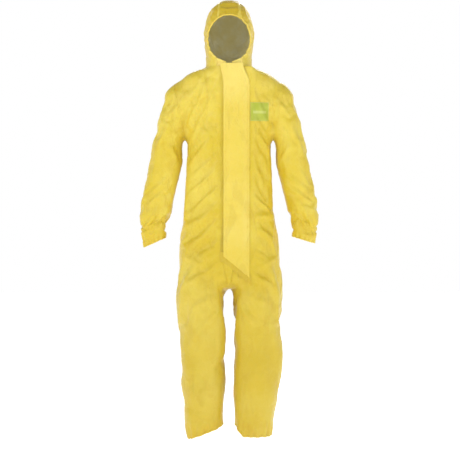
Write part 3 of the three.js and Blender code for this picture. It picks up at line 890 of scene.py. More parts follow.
band_rows, strip_rows = [], []
for v in np.linspace(0, 1, 14):
    row = []
    for x in np.linspace(-0.0365, 0.086, 44):
        z = tail_line(max(x, -0.024)) - 0.024 + 0.040 * v
        wave_out = 0.0007 * noise.noise(Vector((x * 60, 0.4, z * 40)))
        row.append((x, behind_flap(x, z) + wave_out, z))
    band_rows.append(row)
# This tail sheet is dressed further on in a darker copy of the cloth, as painted shade under the flap's
# slanted tail.
facing_tail = slab("flap_facing_tail", band_rows, 0.0007)
for z in np.linspace(level(724), level(818), 26):
    half = 0.010 + 0.014 * step(level(735), level(803), z)
    settle_down = 0.0050 * (1 - step(level(722), level(744), z))
    row = []
    for s in np.linspace(-1, 1, 13):
        hit = skin.ray_cast(Vector((s * half, -0.3, z)), Vector((0, 1, 0)))[0]
        loose = zip_plane(z) - 0.0060 + settle_down
        sewn = hit.y - 0.0010 if hit and hit.y < -0.09 else loose
        row.append((s * half, min(loose, sewn) + (sewn - min(loose, sewn)) * step(0.55, 1.0, abs(s)), z))
    strip_rows.append(row)
zip_cover = slab("zip_end_cover", strip_rows, 0.0007)

# %% [markdown]
# ## The guard behind the zip
# A strip of the same cloth hangs behind the zip and keeps what seeps through the teeth off the wearer. It
# is seen only from inside. It is a plain strip whose edges are folded, so it is drawn as a sheet with
# thicker edges.

# %% Lay out the guard
guard_rows = []
for z in np.linspace(level(766), level(1574), 180):
    row = []
    for s in np.linspace(1, -1, 9):
        fold = 0.0006 * step(0.7, 0.95, abs(s)) + 0.0007 * noise.noise(Vector((s, 2.2, z * 18)))
        row.append((0.0215 * s, zip_plane(z) + 0.0052 + fold, z))
    guard_rows.append(row)
guard = slab("zip_guard_cloth", guard_rows, 0.0012)

# %% [markdown]
# ## The zip
# A coil zip is one plastic thread wound into hundreds of small loops on each tape, which lock into each
# other. Each loop is too small to matter alone, so one low bead is made and Geometry Nodes repeats it
# along both sides, half a step apart. The tree has its sizes as inputs and ends by making the copies
# real.

# %% A tree that repeats a bead along a straight line
def repeat_tree(name):
    tree = bpy.data.node_groups.new(name, "GeometryNodeTree")
    face = tree.interface
    for label, kind in (("Start", "Vector"), ("End", "Vector"), ("Count", "Int"), ("Bead Size", "Vector"),
                        ("Finish", "Material")):
        face.new_socket(label, in_out="INPUT", socket_type="NodeSocket" + kind)
    face.new_socket("Geometry", in_out="OUTPUT", socket_type="NodeSocketGeometry")
    add = tree.nodes.new
    inputs, output = add("NodeGroupInput"), add("NodeGroupOutput")
    line = add("GeometryNodeMeshLine")
    line.mode = "END_POINTS"
    bead = add("GeometryNodeMeshCube")
    soften = add("GeometryNodeSubdivisionSurface")
    soften.inputs["Level"].default_value = 1
    copies = add("GeometryNodeInstanceOnPoints")
    real = add("GeometryNodeRealizeInstances")
    paint = add("GeometryNodeSetMaterial")
    link = tree.links.new
    link(inputs.outputs["Start"], line.inputs["Start Location"])
    link(inputs.outputs["End"], line.inputs["Offset"])
    link(inputs.outputs["Count"], line.inputs["Count"])
    link(inputs.outputs["Bead Size"], bead.inputs["Size"])
    link(bead.outputs["Mesh"], soften.inputs["Mesh"])
    link(line.outputs["Mesh"], copies.inputs["Points"])
    link(soften.outputs["Mesh"], copies.inputs["Instance"])
    link(copies.outputs["Instances"], real.inputs["Geometry"])
    link(real.outputs["Geometry"], paint.inputs["Geometry"])
    link(inputs.outputs["Finish"], paint.inputs["Material"])
    link(paint.outputs["Geometry"], output.inputs["Geometry"])
    return tree


def with_tree(name, tree, values, points=()):
    """A plain mesh made by a node tree from its named inputs, along a line through points if given."""
    mesh = bpy.data.meshes.new(name)
    mesh.from_pydata([tuple(p) for p in points], [(i, i + 1) for i in range(len(points) - 1)], [])
    made = bpy.data.objects.new(name, mesh)
    bpy.context.scene.collection.objects.link(made)
    modifier = made.modifiers.new("tree", "NODES")
    modifier.node_group = tree
    for item in tree.interface.items_tree:
        if item.item_type == "SOCKET" and item.in_out == "INPUT" and item.name in values:
            modifier[item.identifier] = values[item.name]
    return evaluated(made)


beads = repeat_tree("coil beads")
coil_finish = bpy.data.materials.new("zip_coil_nylon")
coils = {}
PITCH = 0.0025
for name, side in SIDES:
    low, high = level(744.5), level(1595)
    shift = PITCH / 2 if side > 0 else 0
    start = Vector((side * 0.0014, zip_plane(low) + 0.0013, low + shift))
    end = Vector((side * 0.0014, zip_plane(high) + 0.0013, high + shift))
    values = {"Start": start, "End": end, "Count": int((end - start).length / PITCH),
              "Bead Size": (0.0030, 0.0026, 0.0017), "Finish": coil_finish}
    coils[name] = with_tree(f"{name}_zip_teeth", beads, values)
    print(coils[name].name, len(coils[name].data.polygons), "faces")

# %% [markdown]
# ## Stitches
# A lockstitch is a row of short threads, each dipping into the cloth at both ends. A second tree walks
# along a line of points and lays one small lozenge of thread at each step, turned along the line. It
# serves the flap and the label.

# %% A tree that sews along a line
def sewing_tree(name):
    tree = bpy.data.node_groups.new(name, "GeometryNodeTree")
    face = tree.interface
    face.new_socket("Geometry", in_out="INPUT", socket_type="NodeSocketGeometry")
    for label, kind in (("Stitch Step", "NodeSocketFloat"), ("Stitch Length", "NodeSocketFloat"),
                        ("Thread Radius", "NodeSocketFloat"), ("Finish", "NodeSocketMaterial")):
        face.new_socket(label, in_out="INPUT", socket_type=kind)
    face.new_socket("Geometry", in_out="OUTPUT", socket_type="NodeSocketGeometry")
    add = tree.nodes.new
    inputs, output = add("NodeGroupInput"), add("NodeGroupOutput")
    curve = add("GeometryNodeMeshToCurve")
    steps = add("GeometryNodeCurveToPoints")
    steps.mode = "LENGTH"
    thread = add("GeometryNodeMeshUVSphere")
    thread.inputs["Segments"].default_value = 5
    thread.inputs["Rings"].default_value = 4
    longer = add("GeometryNodeTransform")
    size = add("ShaderNodeCombineXYZ")
    ratio = add("ShaderNodeMath")
    ratio.operation = "DIVIDE"
    half = add("ShaderNodeMath")
    half.operation = "MULTIPLY"
    half.inputs[1].default_value = 0.5
    copies = add("GeometryNodeInstanceOnPoints")
    real = add("GeometryNodeRealizeInstances")
    paint = add("GeometryNodeSetMaterial")
    link = tree.links.new
    link(inputs.outputs["Geometry"], curve.inputs["Mesh"])
    link(curve.outputs["Curve"], steps.inputs["Curve"])
    link(inputs.outputs["Stitch Step"], steps.inputs["Length"])
    link(inputs.outputs["Thread Radius"], thread.inputs["Radius"])
    link(inputs.outputs["Stitch Length"], half.inputs[0])
    link(half.outputs[0], ratio.inputs[0])
    link(inputs.outputs["Thread Radius"], ratio.inputs[1])
    size.inputs["X"].default_value = size.inputs["Y"].default_value = 1
    link(ratio.outputs[0], size.inputs["Z"])
    link(thread.outputs["Mesh"], longer.inputs["Geometry"])
    link(size.outputs["Vector"], longer.inputs["Scale"])
    link(steps.outputs["Points"], copies.inputs["Points"])
    link(steps.outputs["Rotation"], copies.inputs["Rotation"])
    link(longer.outputs["Geometry"], copies.inputs["Instance"])
    link(copies.outputs["Instances"], real.inputs["Geometry"])
    link(real.outputs["Geometry"], paint.inputs["Geometry"])
    link(inputs.outputs["Finish"], paint.inputs["Material"])
    link(paint.outputs["Geometry"], output.inputs["Geometry"])
    return tree


sewing = sewing_tree("stitches")
thread_finish = bpy.data.materials.new("sewing_thread")
THREAD_RADIUS = 0.0004


def sew(name, points, step_length=0.0042, length=0.0034):
    values = {"Stitch Step": step_length, "Stitch Length": length, "Thread Radius": THREAD_RADIUS,
              "Finish": thread_finish}
    return with_tree(name, sewing, values, points)


def flap_line(inset, side):
    """A stitch line on the flap, a little inside its free or its sewn edge."""
    out = []
    for z in np.arange(level(860) if side < 0 else level(765), level(1515), 0.008):
        x = FLAP_FREE + inset if side < 0 else FLAP_SEWN - inset
        hit = flap_skin.ray_cast(Vector((x, -0.3, z)), Vector((0, 1, 0)))[0]
        if hit:
            out.append((hit.x, hit.y - 0.0002, hit.z))
    return out


def skin_of(o):
    faces = [tuple(p.vertices) for p in o.data.polygons]
    return BVHTree.FromPolygons([v.co.copy() for v in o.data.vertices], faces)


flap_skin = skin_of(flap)
tail = []
for x in np.arange(FLAP_FREE + 0.01, FLAP_SEWN - 0.006, 0.006):
    z = tail_line(x) + 0.011
    hit = flap_skin.ray_cast(Vector((x, -0.3, z)), Vector((0, 1, 0)))[0]
    if hit:
        tail.append((hit.x, hit.y - 0.0002, hit.z))
seams = {
    "flap_free_stitches": sew("flap_free_stitches", flap_line(0.010, -1)),
    "flap_sewn_stitches": sew("flap_sewn_stitches", flap_line(0.008, 1)),
    "flap_tail_stitches": sew("flap_tail_stitches", tail),
}

# %% [markdown]
# ## Hems, elastic and collar
# At each opening the edge is turned over a narrow elastic and overlocked, which leaves a small soft roll.
# The roll follows the real edge of the cloth, so it is swept along the border loop of the section it
# closes. A thinner roll follows each armhole seam. Inside, the elastic itself is a flat band drawn into
# short waves.

# %% Rolls along the borders
def border_loop(keep):
    """The ordered points of the suit's border that keep() chooses, from the undivided skin."""
    edges = {}
    for p in suit.data.polygons:
        for a, b in zip(p.vertices, list(p.vertices)[1:] + [p.vertices[0]]):
            edges[(a, b)] = True
    ahead = {a: b for a, b in edges if (b, a) not in edges}
    points = points_of(suit.data)
    left = {a for a in ahead if keep(points[a])}
    runs = []
    while left:
        a = min(left)
        run = [a]
        left.discard(a)
        while ahead.get(run[-1]) in left:
            run.append(ahead[run[-1]])
            left.discard(run[-1])
        back = {b: a for a, b in ahead.items()}
        while back.get(run[0]) in left:
            run.insert(0, back[run[0]])
            left.discard(run[0])
        runs.append((run, ahead.get(run[-1]) == run[0]))
    run, closed = max(runs, key=lambda r: len(r[0]))
    return [points[i] for i in run], closed


def roll(name, line, closed, radius, ruffle=0.25, sides=8, seed=0):
    """A soft tube along a line of points, with small gathers."""
    p = np.array(line)
    for _ in range(2):
        if closed:
            p = (np.roll(p, 1, 0) + 2 * p + np.roll(p, -1, 0)) / 4
        else:
            p[1:-1] = (p[:-2] + 2 * p[1:-1] + p[2:]) / 4
    ahead = np.roll(p, -1, 0) - np.roll(p, 1, 0) if closed else np.gradient(p, axis=0)
    ahead /= np.linalg.norm(ahead, axis=1, keepdims=True)
    middle = p.mean(0)
    out = p - middle
    out -= (out * ahead).sum(1, keepdims=True) * ahead
    out /= np.linalg.norm(out, axis=1, keepdims=True)
    other = np.cross(ahead, out)
    run = np.concatenate([[0], np.cumsum(np.linalg.norm(np.diff(p, axis=0), axis=1))])
    pleat = 1 + ruffle * np.sin(run * 2 * math.pi / 0.0085 + 1.3 * np.sin(run * 61 + seed))
    verts, faces = [], []
    for i in range(len(p)):
        for k in range(sides):
            t = 2 * math.pi * k / sides
            verts.append(p[i] + radius * pleat[i] * (math.cos(t) * out[i] + math.sin(t) * other[i]))
    rows = len(p)
    for i in range(rows if closed else rows - 1):
        j = (i + 1) % rows
        for k in range(sides):
            m = (k + 1) % sides
            faces.append((i*sides + k, i*sides + m, j*sides + m, j*sides + k))
    if not closed:
        faces += [tuple(reversed(range(sides))), tuple(range((rows - 1) * sides, rows * sides))]
    mesh = bpy.data.meshes.new(name)
    mesh.from_pydata([tuple(v) for v in verts], [], faces)
    made = bpy.data.objects.new(name, mesh)
    bpy.context.scene.collection.objects.link(made)
    return shade(made, 60)


hems, bands = {}, {}
for name, side in SIDES:
    ankle = lambda p: p[2] < level(160) and p[0] * side > 0
    cuff = lambda p: level(840) < p[2] < level(935) and p[0] * side > 0.235
    hems[f"{name}_ankle_hem"] = roll(f"{name}_ankle_roll", *border_loop(ankle), 0.0026, seed=side)
    hems[f"{name}_cuff_hem"] = roll(f"{name}_cuff_roll", *border_loop(cuff), 0.0022, seed=side)
face_line, face_closed = border_loop(lambda p: p[2] > level(1597) and p[1] < 0.0)
hems["face_hem"] = roll("face_roll", face_line, face_closed, 0.0034, 0.22, seed=2)


def seam_loop(a, b):
    """The ordered points where section a meets section b."""
    owner = {}
    for p in suit.data.polygons:
        if p.material_index in (a, b):
            for v, w in zip(p.vertices, list(p.vertices)[1:] + [p.vertices[0]]):
                owner[(v, w)] = p.material_index
    ahead = {v: w for (v, w), k in owner.items() if k == a and owner.get((w, v)) == b}
    run = [min(ahead)]
    while ahead.get(run[-1], run[0]) != run[0]:
        run.append(ahead[run[-1]])
    return [co[i] for i in run]


armholes = {}
for (name, _), sleeve_part in zip(SIDES, (LEFT_PART, RIGHT_PART)):
    line = seam_loop(TRUNK_PART, sleeve_part)
    armholes[name] = roll(f"{name}_armhole_seam", line, True, 0.0012, 0.12, 6)


def band(name, centre, width, front, back, low, tall, count):
    """A flat elastic ring, drawn into waves. The sizes are in mm as for the rings."""
    rows = []
    for v in np.linspace(0, 1, 5):
        row = []
        for t in np.linspace(0, 2 * math.pi, 121):
            pull = 0.9 * math.sin(count * t + 0.8 * math.sin(3 * t))
            depth = front if math.sin(t) < 0 else back
            x = (width + pull) * math.copysign(abs(math.cos(t)) ** 0.9, math.cos(t))
            y = (depth + pull) * math.copysign(abs(math.sin(t)) ** 0.9, math.sin(t))
            row.append(((centre + x) / 1000, y / 1000, level(low + tall * v)))
        rows.append(row)
    return slab(name, rows, 0.0008)


for name, side in SIDES:
    bands[f"{name}_wrist_elastic"] = band(f"{name}_wrist_band", side * 308, 40, 37, 37, 914, 12, 26)
    bands[f"{name}_ankle_elastic"] = band(f"{name}_ankle_band", side * 102, 68, 72, 78, 138, 12, 34)
waist_line = []
for x in np.linspace(-0.17, 0.17, 30):
    round_back = 0.118 * (1 - (abs(x) / 0.2) ** 2.6) ** 0.4 - 0.01
    waist_line.append((-x, round_back, level(WAIST)))
waist_rows = []
for v in (-1, -0.5, 0, 0.5, 1):
    row = []
    for p in path_through(waist_line, 0.003):
        q = Vector((p.x, p.y, p.z + v * 0.012))
        row.append(on_skin(q, -0.0026 - 0.0006 * math.sin(p.x * 700)))
    waist_rows.append(row)
bands["waist_elastic"] = slab("waist_band", waist_rows, 0.0007)

# %% [markdown]
# The collar has two points that stand up under the chin, one on each side of the zip, and show above the
# flap. Each is a doubled piece of cloth, a little thicker at its folded edge, that curves round the neck.

# %% Lay out the collar points
collars = {}
for name, side in SIDES:
    rows = []
    for v in np.linspace(0, 1, 12):
        row = []
        for u in np.linspace(0, 1, 12):
            x = 0.0115 + u * (0.0445 - 0.004 * v)
            top = level(1609) + 0.017 * u
            z = level(1586) + (top - level(1586)) * v
            y = -0.1105 + 0.012 * (x / 0.05) ** 2 - 0.0015 * v * v
            edge = min(u, 1 - u, 1 - v)
            ripple = 0.0008 * noise.noise(Vector((x * 60, 1, z * 60)))
            y -= 0.0009 * math.exp(-((edge - 0.1) / 0.08) ** 2) + ripple
            row.append((side * x, y, z))
        rows.append(row if side > 0 else row[::-1])
    collars[name] = slab(f"{name}_collar_point", rows, 0.0016)

# %% [markdown]
# ## Labels
# A soft printed label sits on the wearer's left breast. It is a plain patch: lighter border, green field
# and a paler bar across its foot, with no wording. It is sewn round its edge.

# %% Lay the label on the cloth
LABEL = (0.1225, level(1410), 0.074)


def label_point(s, t, lift):
    x = LABEL[0] + s * LABEL[2] / 2
    z = LABEL[1] + t * LABEL[2] / 2
    hit, n, _, _ = skin.ray_cast(Vector((x, -0.3, z)), Vector((0, 1, 0)))
    return Vector((x, hit.y, z)) + Vector((0, -lift, 0))


label_rows = [[label_point(s, t, 0.0016) for s in np.linspace(-1, 1, 21)] for t in np.linspace(-1, 1, 21)]
for _ in range(3):
    g = np.array(label_rows, float).reshape(21, 21, 3)
    g[1:-1, 1:-1] = (g[:-2, 1:-1] + g[2:, 1:-1] + g[1:-1, :-2] + g[1:-1, 2:] + 4 * g[1:-1, 1:-1]) / 8
    label_rows = g
label = slab("chest_label_patch", [[tuple(p) for p in row] for row in label_rows], 0.0009)
label_skin = skin_of(label)
square = [(-0.93, -0.93), (0.93, -0.93), (0.93, 0.93), (-0.93, 0.93), (-0.93, -0.93)]
label_edge = []
for (s0, t0), (s1, t1) in zip(square, square[1:]):
    for k in range(16):
        s, t = s0 + (s1 - s0) * k / 16, t0 + (t1 - t0) * k / 16
        p = Vector((LABEL[0] + s * LABEL[2] / 2, -0.3, LABEL[1] + t * LABEL[2] / 2))
        hit = label_skin.ray_cast(p, Vector((0, 1, 0)))[0]
        if hit:
            label_edge.append((hit.x, hit.y - 0.0002, hit.z))
seams["label_stitches"] = sew("label_stitches", label_edge, 0.0036, 0.0026)

# %% [markdown]
# ## The gusset
# A strip under the crotch joins the four panels. It stays with the trunk and covers the seam that opens a
# little when a leg swings.

# %% Lay the gusset under the crotch
UNDER_THE_CROTCH = [  # y and height
    (-0.122, 746), (-0.118, 734), (-0.10, 720), (-0.05, 708),
    (0, 704), (0.05, 708), (0.10, 720), (0.118, 752),
]
gusset_line = [(0, y, level(height)) for y, height in UNDER_THE_CROTCH]
gusset = tape("crotch_gusset_cloth", gusset_line, 0.022, across=(1, 0, 0))

# %% [markdown]
# ## Writing shader maths as sums
# A small class wraps a shader socket, so that a mask can be written as an expression. Each operator adds
# one Math node. Colours go through Mix nodes instead, because a Math node would turn them grey.

# %% Sockets as values
def operation(name, swap=False):
    """A method of Value that adds one Math node, with the two numbers swapped if asked."""
    def method(self, other=None):
        numbers = [self] if other is None else [self, other]
        if swap:
            numbers.reverse()
        return self.nodes.node("ShaderNodeMath", {"operation": name}, dict(enumerate(numbers)))
    return method


class Value:
    """A shader socket that adds and multiplies like a number."""
    __add__, __radd__ = operation("ADD"), operation("ADD", True)
    __sub__, __rsub__ = operation("SUBTRACT"), operation("SUBTRACT", True)
    __mul__, __rmul__ = operation("MULTIPLY"), operation("MULTIPLY", True)
    __truediv__, abs = operation("DIVIDE"), operation("ABSOLUTE")

    def __init__(self, nodes, socket):
        self.nodes, self.socket = nodes, socket

    def between(self, low, high):
        """0 at low, 1 at high, smooth between."""
        settings = {"interpolation_type": "SMOOTHSTEP"}
        values = {"Value": self, "From Min": low, "From Max": high, "To Min": 0.0, "To Max": 1.0}
        return self.nodes.node("ShaderNodeMapRange", settings, values)


class Nodes:
    """A shader tree, built node by node."""

    def __init__(self, tree):
        self.tree = tree

    def node(self, kind, settings=None, values=None, out=0):
        made = self.tree.nodes.new(kind)
        for key, value in (settings or {}).items():
            setattr(made, key, value)
        for key, value in (values or {}).items():
            if isinstance(value, Value):
                self.tree.links.new(value.socket, made.inputs[key])
            else:
                made.inputs[key].default_value = value
        return Value(self, made.outputs[out])

    def place(self, space="Object"):
        return self.node("ShaderNodeTexCoord", out=space)

    def axes(self, space="Object"):
        """The three coordinates of a place, each as a number."""
        split = self.tree.nodes.new("ShaderNodeSeparateXYZ")
        self.tree.links.new(self.place(space).socket, split.inputs[0])
        return [Value(self, socket) for socket in split.outputs]


class Paint(Nodes):
    """One material."""

    def __init__(self, name, material=None, **constants):
        self.material = material or bpy.data.materials.new(name)
        self.material.name = name
        self.material.use_nodes = True
        super().__init__(self.material.node_tree)
        self.shader = self.tree.nodes["Principled BSDF"]
        for key, value in constants.items():
            self.shader.inputs[key.replace("_", " ")].default_value = value

    def stretched(self, scale, turn=(0, 0, 0)):
        values = {"Vector": self.place(), "Scale": scale, "Rotation": turn}
        return self.node("ShaderNodeMapping", None, values)

    def shaken(self, scale, amount):
        """The place, moved about by a noise."""
        values = {0: self.noise(scale, 3, 0.6), "Scale": amount}
        shake = self.node("ShaderNodeVectorMath", {"operation": "SCALE"}, values)
        return self.node("ShaderNodeVectorMath", {"operation": "ADD"}, {0: self.place(), 1: shake})

    def noise(self, scale, detail=3.0, rough=0.5, distort=0.0, where=None):
        values = {"Vector": where or self.place(), "Scale": scale, "Detail": detail, "Roughness": rough,
                  "Distortion": distort}
        return self.node("ShaderNodeTexNoise", None, values)

    def cells(self, scale, feature="F1", where=None):
        values = {"Vector": where or self.place(), "Scale": scale}
        return self.node("ShaderNodeTexVoronoi", {"feature": feature}, values, "Distance")

    def bands(self, direction, scale, distort=0.0):
        values = {"Vector": self.place(), "Scale": scale, "Distortion": distort}
        return self.node("ShaderNodeTexWave", {"bands_direction": direction}, values)

    def blend(self, factor, a, b):
        made = self.tree.nodes.new("ShaderNodeMix")
        made.data_type = "RGBA"
        for key, value in ((0, factor), (6, a), (7, b)):
            if isinstance(value, Value):
                self.tree.links.new(value.socket, made.inputs[key])
            else:
                made.inputs[key].default_value = value if key == 0 else (*value, 1)
        return Value(self, made.outputs[2])

    def feed(self, name, value):
        self.tree.links.new(value.socket, self.shader.inputs[name])

    def bump(self, height, strength, distance):
        values = {"Height": height, "Strength": strength, "Distance": distance}
        self.feed("Normal", self.node("ShaderNodeBump", None, values, "Normal"))
        return self


def tone(red, green, blue):
    """A colour given as 0 to 255 on the screen, as the linear numbers that shaders use."""
    linear = lambda c: c / 12.92 if c <= 0.04045 else ((c + 0.055) / 1.055) ** 2.4
    return tuple(linear(c / 255) for c in (red, green, blue))


# %% [markdown]
# ## The coated cloth
# The real stuff is spunbonded fibre under a yellow film. From near, the film shows the bonding points
# under it as tiny dimples, and every handling leaves a fine net of creases that catch the light. From
# afar it is a clear yellow, a little paler where creases have whitened the film and warmer where it is
# smooth. Slanted streaks along the folds are darkened as painted shade. The crown of the hood is painted
# darker, as painted shade, and the legs are painted darker towards the bottom. The gloss is low but real,
# and it changes with the creases.

# %% Paint the cloth
def coated_cloth(name, base=(216, 187, 41), pale=(226, 202, 76), deep=(202, 166, 23), crown_shade_and_low_darkening=1.0):
    paint = Paint(name, Specular_IOR_Level=0.42, Sheen_Weight=0.06, Sheen_Roughness=0.4,
                  Subsurface_Weight=0.06, Subsurface_Scale=0.01)
    height = paint.axes()[2]
    # crown marks the top of the hood, darkened as painted shade; below marks the legs, painted darker
    # towards the bottom.
    crown = height.between(level(1640), level(1840))
    below = 1 - height.between(level(420), level(1060))
    broad = paint.noise(3.2, 4, 0.55)
    middle = paint.noise(14, 5, 0.6, 0.4)
    creases = paint.cells(42, "DISTANCE_TO_EDGE", paint.shaken(30, 0.03))
    finer = paint.cells(110, "DISTANCE_TO_EDGE")
    slanted = paint.stretched((2.2, 1, 0.8), (0, 0.7, 0))
    # slack: slanted streaks along the folds, painted shade in the colour and a dip in the bump.
    slack = paint.noise(9, 3, 0.5, 0.8, slanted).between(0.50, 0.66)
    folded = 1 - creases.between(0.0, 0.09)
    hairline = 1 - finer.between(0.0, 0.12)
    dimples = paint.cells(520, "F1")
    fibres = paint.noise(240, 3, 0.7, 0.6, paint.stretched((1, 1, 0.35)))
    colour = paint.blend(broad.between(0.36, 0.66), tone(*base), tone(*pale))
    colour = paint.blend(middle.between(0.5, 0.78) * 0.45, colour, tone(*deep))
    # Painted shade: the slanted fold streaks darken the colour.
    colour = paint.blend(slack * 0.14, colour, tone(178, 144, 20))
    colour = paint.blend(folded * 0.07, colour, tone(238, 222, 142))
    colour = paint.blend(fibres.between(0.55, 0.75) * 0.12, colour, tone(190, 156, 36))
    # Painted shade on the crown of the hood, and darker towards the bottom of the legs.
    colour = paint.blend((crown * 0.34 + below * 0.30) * crown_shade_and_low_darkening, colour, tone(176, 146, 34))
    paint.feed("Base Color", colour)
    paint.feed("Roughness", 0.37 + 0.12 * middle + 0.10 * folded - 0.06 * hairline)
    relief = folded * 0.35 + hairline * 0.15 + middle * 0.9
    relief = relief + dimples.between(0.1, 0.6) * 0.10 + fibres * 0.12
    return paint.bump(relief - slack * 1.5, 0.75, 0.0013).material


def lining(name):
    """The uncoated inside: white fibre with the yellow of the film showing through."""
    paint = Paint(name, Specular_IOR_Level=0.25, Sheen_Weight=0.2)
    clouds = paint.noise(22, 5, 0.65)
    fibres = paint.noise(320, 4, 0.7, 1.2, paint.stretched((1, 0.5, 1)))
    dimples = paint.cells(520, "F1")
    colour = paint.blend(clouds.between(0.35, 0.7), tone(222, 212, 160), tone(230, 226, 196))
    paint.feed("Base Color", paint.blend(fibres.between(0.5, 0.8) * 0.3, colour, tone(204, 188, 128)))
    paint.feed("Roughness", 0.72 + 0.15 * fibres)
    return paint.bump(clouds * 0.5 + fibres * 0.3 + dimples * 0.3, 0.5, 0.0008).material


yellow = coated_cloth("coated_cloth")
# A lighter copy of the cloth, as painted light, for the storm flap, the hem rolls and the collar points.
painted_light_cloth = coated_cloth("coated_cloth_painted_light", (228, 201, 74), (236, 212, 104), (217, 184, 50), 0.5)
# A darker copy of the cloth, as painted shade, for the facing strips under the flap's free edge and tail.
painted_shade_cloth = coated_cloth("coated_cloth_painted_shade", (206, 176, 42), (214, 188, 66), (194, 160, 30), 0.5)
inside = lining("nonwoven_lining")


# %% [markdown]
# ## Tape, thread, elastic, zip and labels
# Each of these is a different stuff next to the cloth: a glossier film, a twisted thread, a covered
# rubber, a woven tape, moulded nylon, painted metal, a printed label and a release paper. Each gets its
# own grain.

# %% Paint the trimmings
def welded_tape():
    paint = Paint("seam_tape_film", Coat_Weight=0.15, Coat_Roughness=0.25, Specular_IOR_Level=0.5)
    press = paint.cells(300, "F1", paint.stretched((1, 1, 0.5)))
    streaks = paint.noise(60, 4, 0.6, 0.3, paint.stretched((1, 1, 0.2)))
    colour = paint.blend(streaks.between(0.35, 0.7), tone(214, 189, 62), tone(226, 204, 90))
    paint.feed("Base Color", colour)
    paint.feed("Roughness", 0.26 + 0.2 * streaks)
    return paint.bump(press * 0.5 + streaks * 0.6, 0.35, 0.0006).material


def twisted_thread(material):
    paint = Paint("sewing_thread", material, Sheen_Weight=0.2)
    twist = paint.bands("DIAGONAL", 900)
    paint.feed("Base Color", paint.blend(twist, tone(204, 172, 54), tone(226, 202, 98)))
    paint.feed("Roughness", 0.5 + 0.2 * twist)
    return paint.bump(twist, 0.4, 0.0002).material


def covered_elastic():
    paint = Paint("covered_elastic", Sheen_Weight=0.25, Specular_IOR_Level=0.3)
    ribs = paint.bands("Z", 340, 0.6)
    cross = paint.noise(420, 2, 0.5)
    paint.feed("Base Color", paint.blend(ribs, tone(206, 198, 172), tone(240, 236, 222)))
    paint.feed("Roughness", 0.68 + 0.18 * cross)
    return paint.bump(ribs + cross * 0.4, 0.5, 0.0005).material


def woven_zip_tape():
    paint = Paint("woven_zip_tape", Sheen_Weight=0.15)
    warp, weft = paint.bands("X", 420), paint.bands("Z", 300)
    weave = warp * weft
    paint.feed("Base Color", paint.blend(weave, tone(188, 160, 44), tone(214, 186, 68)))
    paint.feed("Roughness", 0.62 + 0.2 * weave)
    return paint.bump(weave, 0.5, 0.0004).material


def moulded_nylon(material):
    paint = Paint("zip_coil_nylon", material, Specular_IOR_Level=0.55)
    grain = paint.noise(180, 3, 0.6)
    paint.feed("Base Color", paint.blend(grain.between(0.3, 0.7), tone(202, 172, 42), tone(218, 190, 72)))
    paint.feed("Roughness", 0.28 + 0.2 * grain)
    return paint.bump(grain, 0.15, 0.0003).material


def painted_metal():
    paint = Paint("painted_die_cast", Specular_IOR_Level=0.5, Coat_Weight=0.3, Coat_Roughness=0.2)
    orange_peel = paint.noise(520, 2, 0.5)
    chips = paint.noise(150, 5, 0.75).between(0.66, 0.70)
    paint.feed("Base Color", paint.blend(chips, tone(216, 184, 44), tone(150, 146, 138)))
    paint.feed("Metallic", 0.9 * chips)
    paint.feed("Roughness", 0.34 + 0.12 * orange_peel)
    return paint.bump(orange_peel * 0.4 - chips * 0.8, 0.25, 0.0003).material


def release_paper():
    paint = Paint("release_paper", Specular_IOR_Level=0.6)
    ripple = paint.noise(90, 4, 0.6, 0.4)
    colour = paint.blend(ripple.between(0.3, 0.7), tone(232, 222, 190), tone(246, 240, 220))
    paint.feed("Base Color", colour)
    paint.feed("Roughness", 0.3 + 0.2 * ripple)
    return paint.bump(ripple, 0.4, 0.0006).material


def printed_label():
    """Green field, lighter rim, and a paler bar where print would be."""
    paint = Paint("printed_label", Specular_IOR_Level=0.45)
    x, _, z = paint.axes()
    across = (x - LABEL[0]).abs() / (LABEL[2] / 2)
    up = (z - LABEL[1]) / (LABEL[2] / 2)
    rim = across.between(0.95, 0.97)
    rim = 1 - (1 - rim) * (1 - up.abs().between(0.95, 0.97))
    bar = (1 - across.between(0.70, 0.72)) * (1 - (up + 0.05).abs().between(0.13, 0.15))
    weave = paint.noise(300, 2, 0.5)
    fade = paint.noise(26, 4, 0.6)
    colour = paint.blend(fade.between(0.3, 0.7), tone(165, 176, 46), tone(180, 187, 64))
    colour = paint.blend(bar * 0.5, colour, tone(208, 212, 128))
    paint.feed("Base Color", paint.blend(rim * 0.6, colour, tone(202, 206, 118)))
    paint.feed("Roughness", 0.38 + 0.2 * weave)
    return paint.bump(weave * 0.5 + fade * 0.6, 0.3, 0.0005).material


def size_label():
    paint = Paint("woven_size_label", Sheen_Weight=0.1)
    warp = paint.bands("X", 600)
    fade = paint.noise(40, 3, 0.6)
    paint.feed("Base Color", paint.blend(warp * 0.5, tone(244, 244, 238), tone(222, 222, 214)))
    paint.feed("Roughness", 0.6 + 0.2 * fade)
    return paint.bump(warp, 0.3, 0.0003).material


film, elastic, woven = welded_tape(), covered_elastic(), woven_zip_tape()
nylon, metal, paper = moulded_nylon(coil_finish), painted_metal(), release_paper()
thread, green, white = twisted_thread(thread_finish), printed_label(), size_label()

# %% [markdown]
# ## Dress the pieces and hang them on their bodies
# Every piece now gets its finish, and where it stands for a plain solid of the frame, that solid is
# hidden. The trunk, hood, tapes, hems, bands, zip, collar points, flap and label hang on the frame body
# that carries them; the hip, shin, sleeve and forearm sections and the hip tapes are only set in place.
# Hems and bands ride on the same body as the limb they close, which a small table of words tells.

# %% Materials, bodies and what each piece replaces
def dress(o, material, second=None):
    keep = [p.material_index for p in o.data.polygons]
    o.data.materials.clear()
    o.data.materials.append(material)
    if second:
        o.data.materials.append(second)
        o.data.polygons.foreach_set("material_index", keep)
    else:
        o.data.polygons.foreach_set("material_index", [0] * len(keep))
    return o


